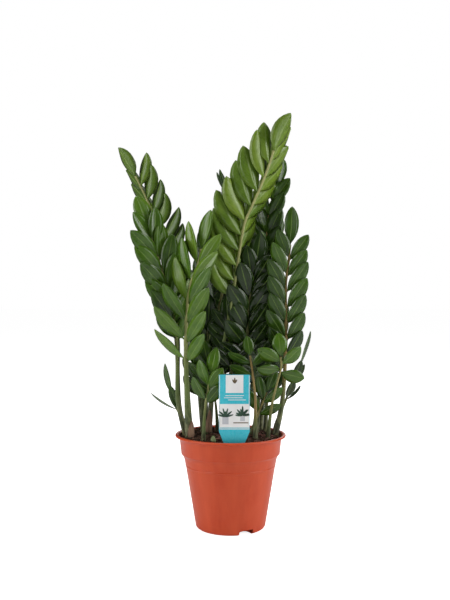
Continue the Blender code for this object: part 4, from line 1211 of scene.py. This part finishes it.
def upright_sheet(name, left, right, low, high, front=0.0):
    """A rectangle in the label's plane, in mm. front is how far it stands before the middle of the sheet."""
    pick_nothing()
    bpy.ops.mesh.primitive_plane_add(size=1, rotation=(math.pi / 2, 0, 0))
    sheet = bpy.context.active_object
    sheet.name = name
    sheet.scale = ((right - left) * MM, (high - low) * MM, 1)
    sheet.location = ((left + right) / 2 * MM, -front * MM, (low + high) / 2 * MM)
    bpy.ops.object.transform_apply(location=True, rotation=True, scale=True)
    return sheet


def thicken(sheet, thickness, softness, segments=2):
    solid = sheet.modifiers.new("thickness", "SOLIDIFY")
    solid.thickness = thickness
    solid.offset = 0
    edge = sheet.modifiers.new("soft edge", "BEVEL")
    edge.width = softness
    edge.segments = segments
    apply_modifiers(sheet)


label = upright_sheet("printed_label", -HALF_WIDTH, HALF_WIDTH, SHOULDERS, TOP)
in_edit_mode(label)
for edge, low, share in ((SHOULDERS, 0, NECK_SHARE), (0, POINT_DEPTH, POINT_SHARE)):
    select_points(label, lambda v: abs(v.co.z - edge * MM) < 1e-5)
    bpy.ops.mesh.extrude_region_move(TRANSFORM_OT_translate={"value": (0, 0, low * MM - edge * MM)})
    bpy.ops.transform.resize(value=(share, 1, 1), center_override=(0, 0, low * MM))
select_points(label, lambda v: v.co.z > (TOP - 1) * MM)
bpy.ops.mesh.bevel(offset=1.2 * MM, segments=4, affect="VERTICES")
bpy.ops.mesh.select_all(action="SELECT")
bpy.ops.mesh.normals_make_consistent(inside=False)
object_mode()
thicken(label, LABEL_THICKNESS, 0.15 * MM)
print("label faces:", len(label.data.polygons))

# %% [markdown]
# The print lies in three layers, each a little further forward: the panels and the rules, then the pots with
# the line under them and the small leaf, then the leaves of the two plants. Places are in millimetres, from
# the middle of the label and from the rim up.

# %% The print
PRINT_FRONT, PICTURE_FRONT, LEAF_FRONT = 0.46, 0.54, 0.60    # how far each layer stands forward, in mm
INK = 0.08 * MM
pale_print, leaf_print, pot_print, dark_print = [], [], [], []


def patch(group, left, right, low, high, front=PRINT_FRONT):
    sheet = upright_sheet("print_patch", left, right, low, high, front)
    thicken(sheet, INK, 0.02 * MM, segments=1)
    group.append(sheet)


def printed_leaf(group, root, lean, reach, rise, width, front):
    """A pointed leaf from root to tip, in mm: a disc of eight points drawn out along its length."""
    root = Vector((root[0], 0, root[1]))
    tip = root + Vector((reach * math.sin(lean), 0, rise * math.cos(lean)))
    pick_nothing()
    bpy.ops.mesh.primitive_circle_add(vertices=8, radius=0.5, fill_type="NGON", rotation=(math.pi / 2, 0, 0))
    leaf = bpy.context.active_object
    bpy.ops.object.transform_apply(rotation=True)
    leaf.scale = (width * MM, 1, (tip - root).length * MM)
    leaf.rotation_euler = (0, math.atan2(tip.x - root.x, tip.z - root.z), 0)
    leaf.location = (root + tip) / 2 * MM - Vector((0, front * MM, 0))
    bpy.ops.object.transform_apply(location=True, rotation=True, scale=True)
    thicken(leaf, INK, 0.01 * MM, segments=1)
    group.append(leaf)


def printed_plant(root, count, fan, reach, shortest, step, lengths, width):
    """A fan of leaves that lean from -fan to fan, in a few lengths by turns."""
    for k in range(count):
        lean = -fan + 2 * fan * k / (count - 1)
        printed_leaf(leaf_print, root, lean, reach, shortest + step * (k % lengths), width, LEAF_FRONT)


patch(pale_print, -12.5, 13, 74, 100.6)
patch(pale_print, -22.1, 22.1, 22.0, 57.5)
patch(pale_print, -22.1, 22.1, 19.4, 20.6)
patch(pale_print, -21.9, -21.1, 21, 100)
patch(pale_print, 21.1, 21.9, 21, 100)
for low, left, right in ((69.5, -13, 14), (66.3, -15, 12), (63.1, -9, 17)):
    patch(pale_print, left, right, low, low + 0.9)
for lean, reach in ((-0.5, 7), (0.0, 9), (0.5, 7)):
    printed_leaf(dark_print, (0.5, 88), lean, reach, reach, 2.6, PICTURE_FRONT)

patch(pot_print, -17.5, -8.5, 27, 39, PICTURE_FRONT)
patch(pot_print, 8.5, 15.5, 32, 41, PICTURE_FRONT)
patch(dark_print, -1.5, 20.5, 28.5, 30, PICTURE_FRONT)
printed_plant((-13, 38), 9, 1.15, 13, 9, 5, 2, 2.6)
printed_plant((12, 40), 11, 1.45, 11, 7, 4, 3, 3.0)
print("patches:", len(pale_print), len(leaf_print), len(pot_print), len(dark_print))

# %% [markdown]
# Ink on plastic is smooth, and its colour wavers slightly. Once everything is in place, the label and its
# print are moved together to the rim, where they lean forward a little.

# %% Printed plastic
def print_finish(name, colour, deeper, roughness):
    mat, tree, shader = finish_of(name, roughness, Specular_IOR_Level=0.25)
    mask, grain = mottled(tree, 18, stretch=1.6, softness=0.9)
    plug(tree, shader.inputs["Base Color"], blend_colours(tree, mask, deeper, colour))
    plug(tree, shader.inputs["Roughness"], remap(tree, grain, 0.3, 0.7, roughness - 0.04, roughness + 0.06))
    raise_bumps(tree, shader, grain, 0.00003)
    return mat


PRINTS = (
    ("label_print_pale", pale_print, "pale_print", (0.80, 0.82, 0.80), (0.72, 0.70, 0.70)),
    ("label_print_leaves", leaf_print, "leaf_print", (0.05, 0.10, 0.06), (0.02, 0.05, 0.04)),
    ("label_print_pots", pot_print, "pot_print", (0.52, 0.54, 0.56), (0.40, 0.40, 0.44)),
    ("label_print_dark", dark_print, "dark_print", (0.16, 0.11, 0.05), (0.08, 0.06, 0.04)),
)
label.data.materials.append(print_finish("turquoise_print", (0.055, 0.50, 0.60), (0.040, 0.43, 0.53), 0.28))
label_pieces = [label]
for name, patches, finish, colour, deeper in PRINTS:
    piece = joined(name, patches)
    piece.data.materials.append(print_finish(finish, colour, deeper, 0.32))
    label_pieces.append(piece)
for piece in label_pieces:
    piece.data.transform(label_place)
    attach(piece, "root")
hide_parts("care_label")
label_box = [[round(float(v), 4) for v in corner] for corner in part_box("care_label")]
print("label now:", [round(v, 4) for v in label.dimensions], "measured:", label_box)

# %% [markdown]
# ## Sizes at the end
#
# The finished plant has to fill the same box as the measured one. Both boxes are written down.

# %% Print both sizes
final_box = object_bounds()
for label_text, (low, high) in (("measured", cad_box), ("finished", final_box)):
    print(label_text, "size in mm:", [round((b - a) / MM, 1) for a, b in zip(low, high)])
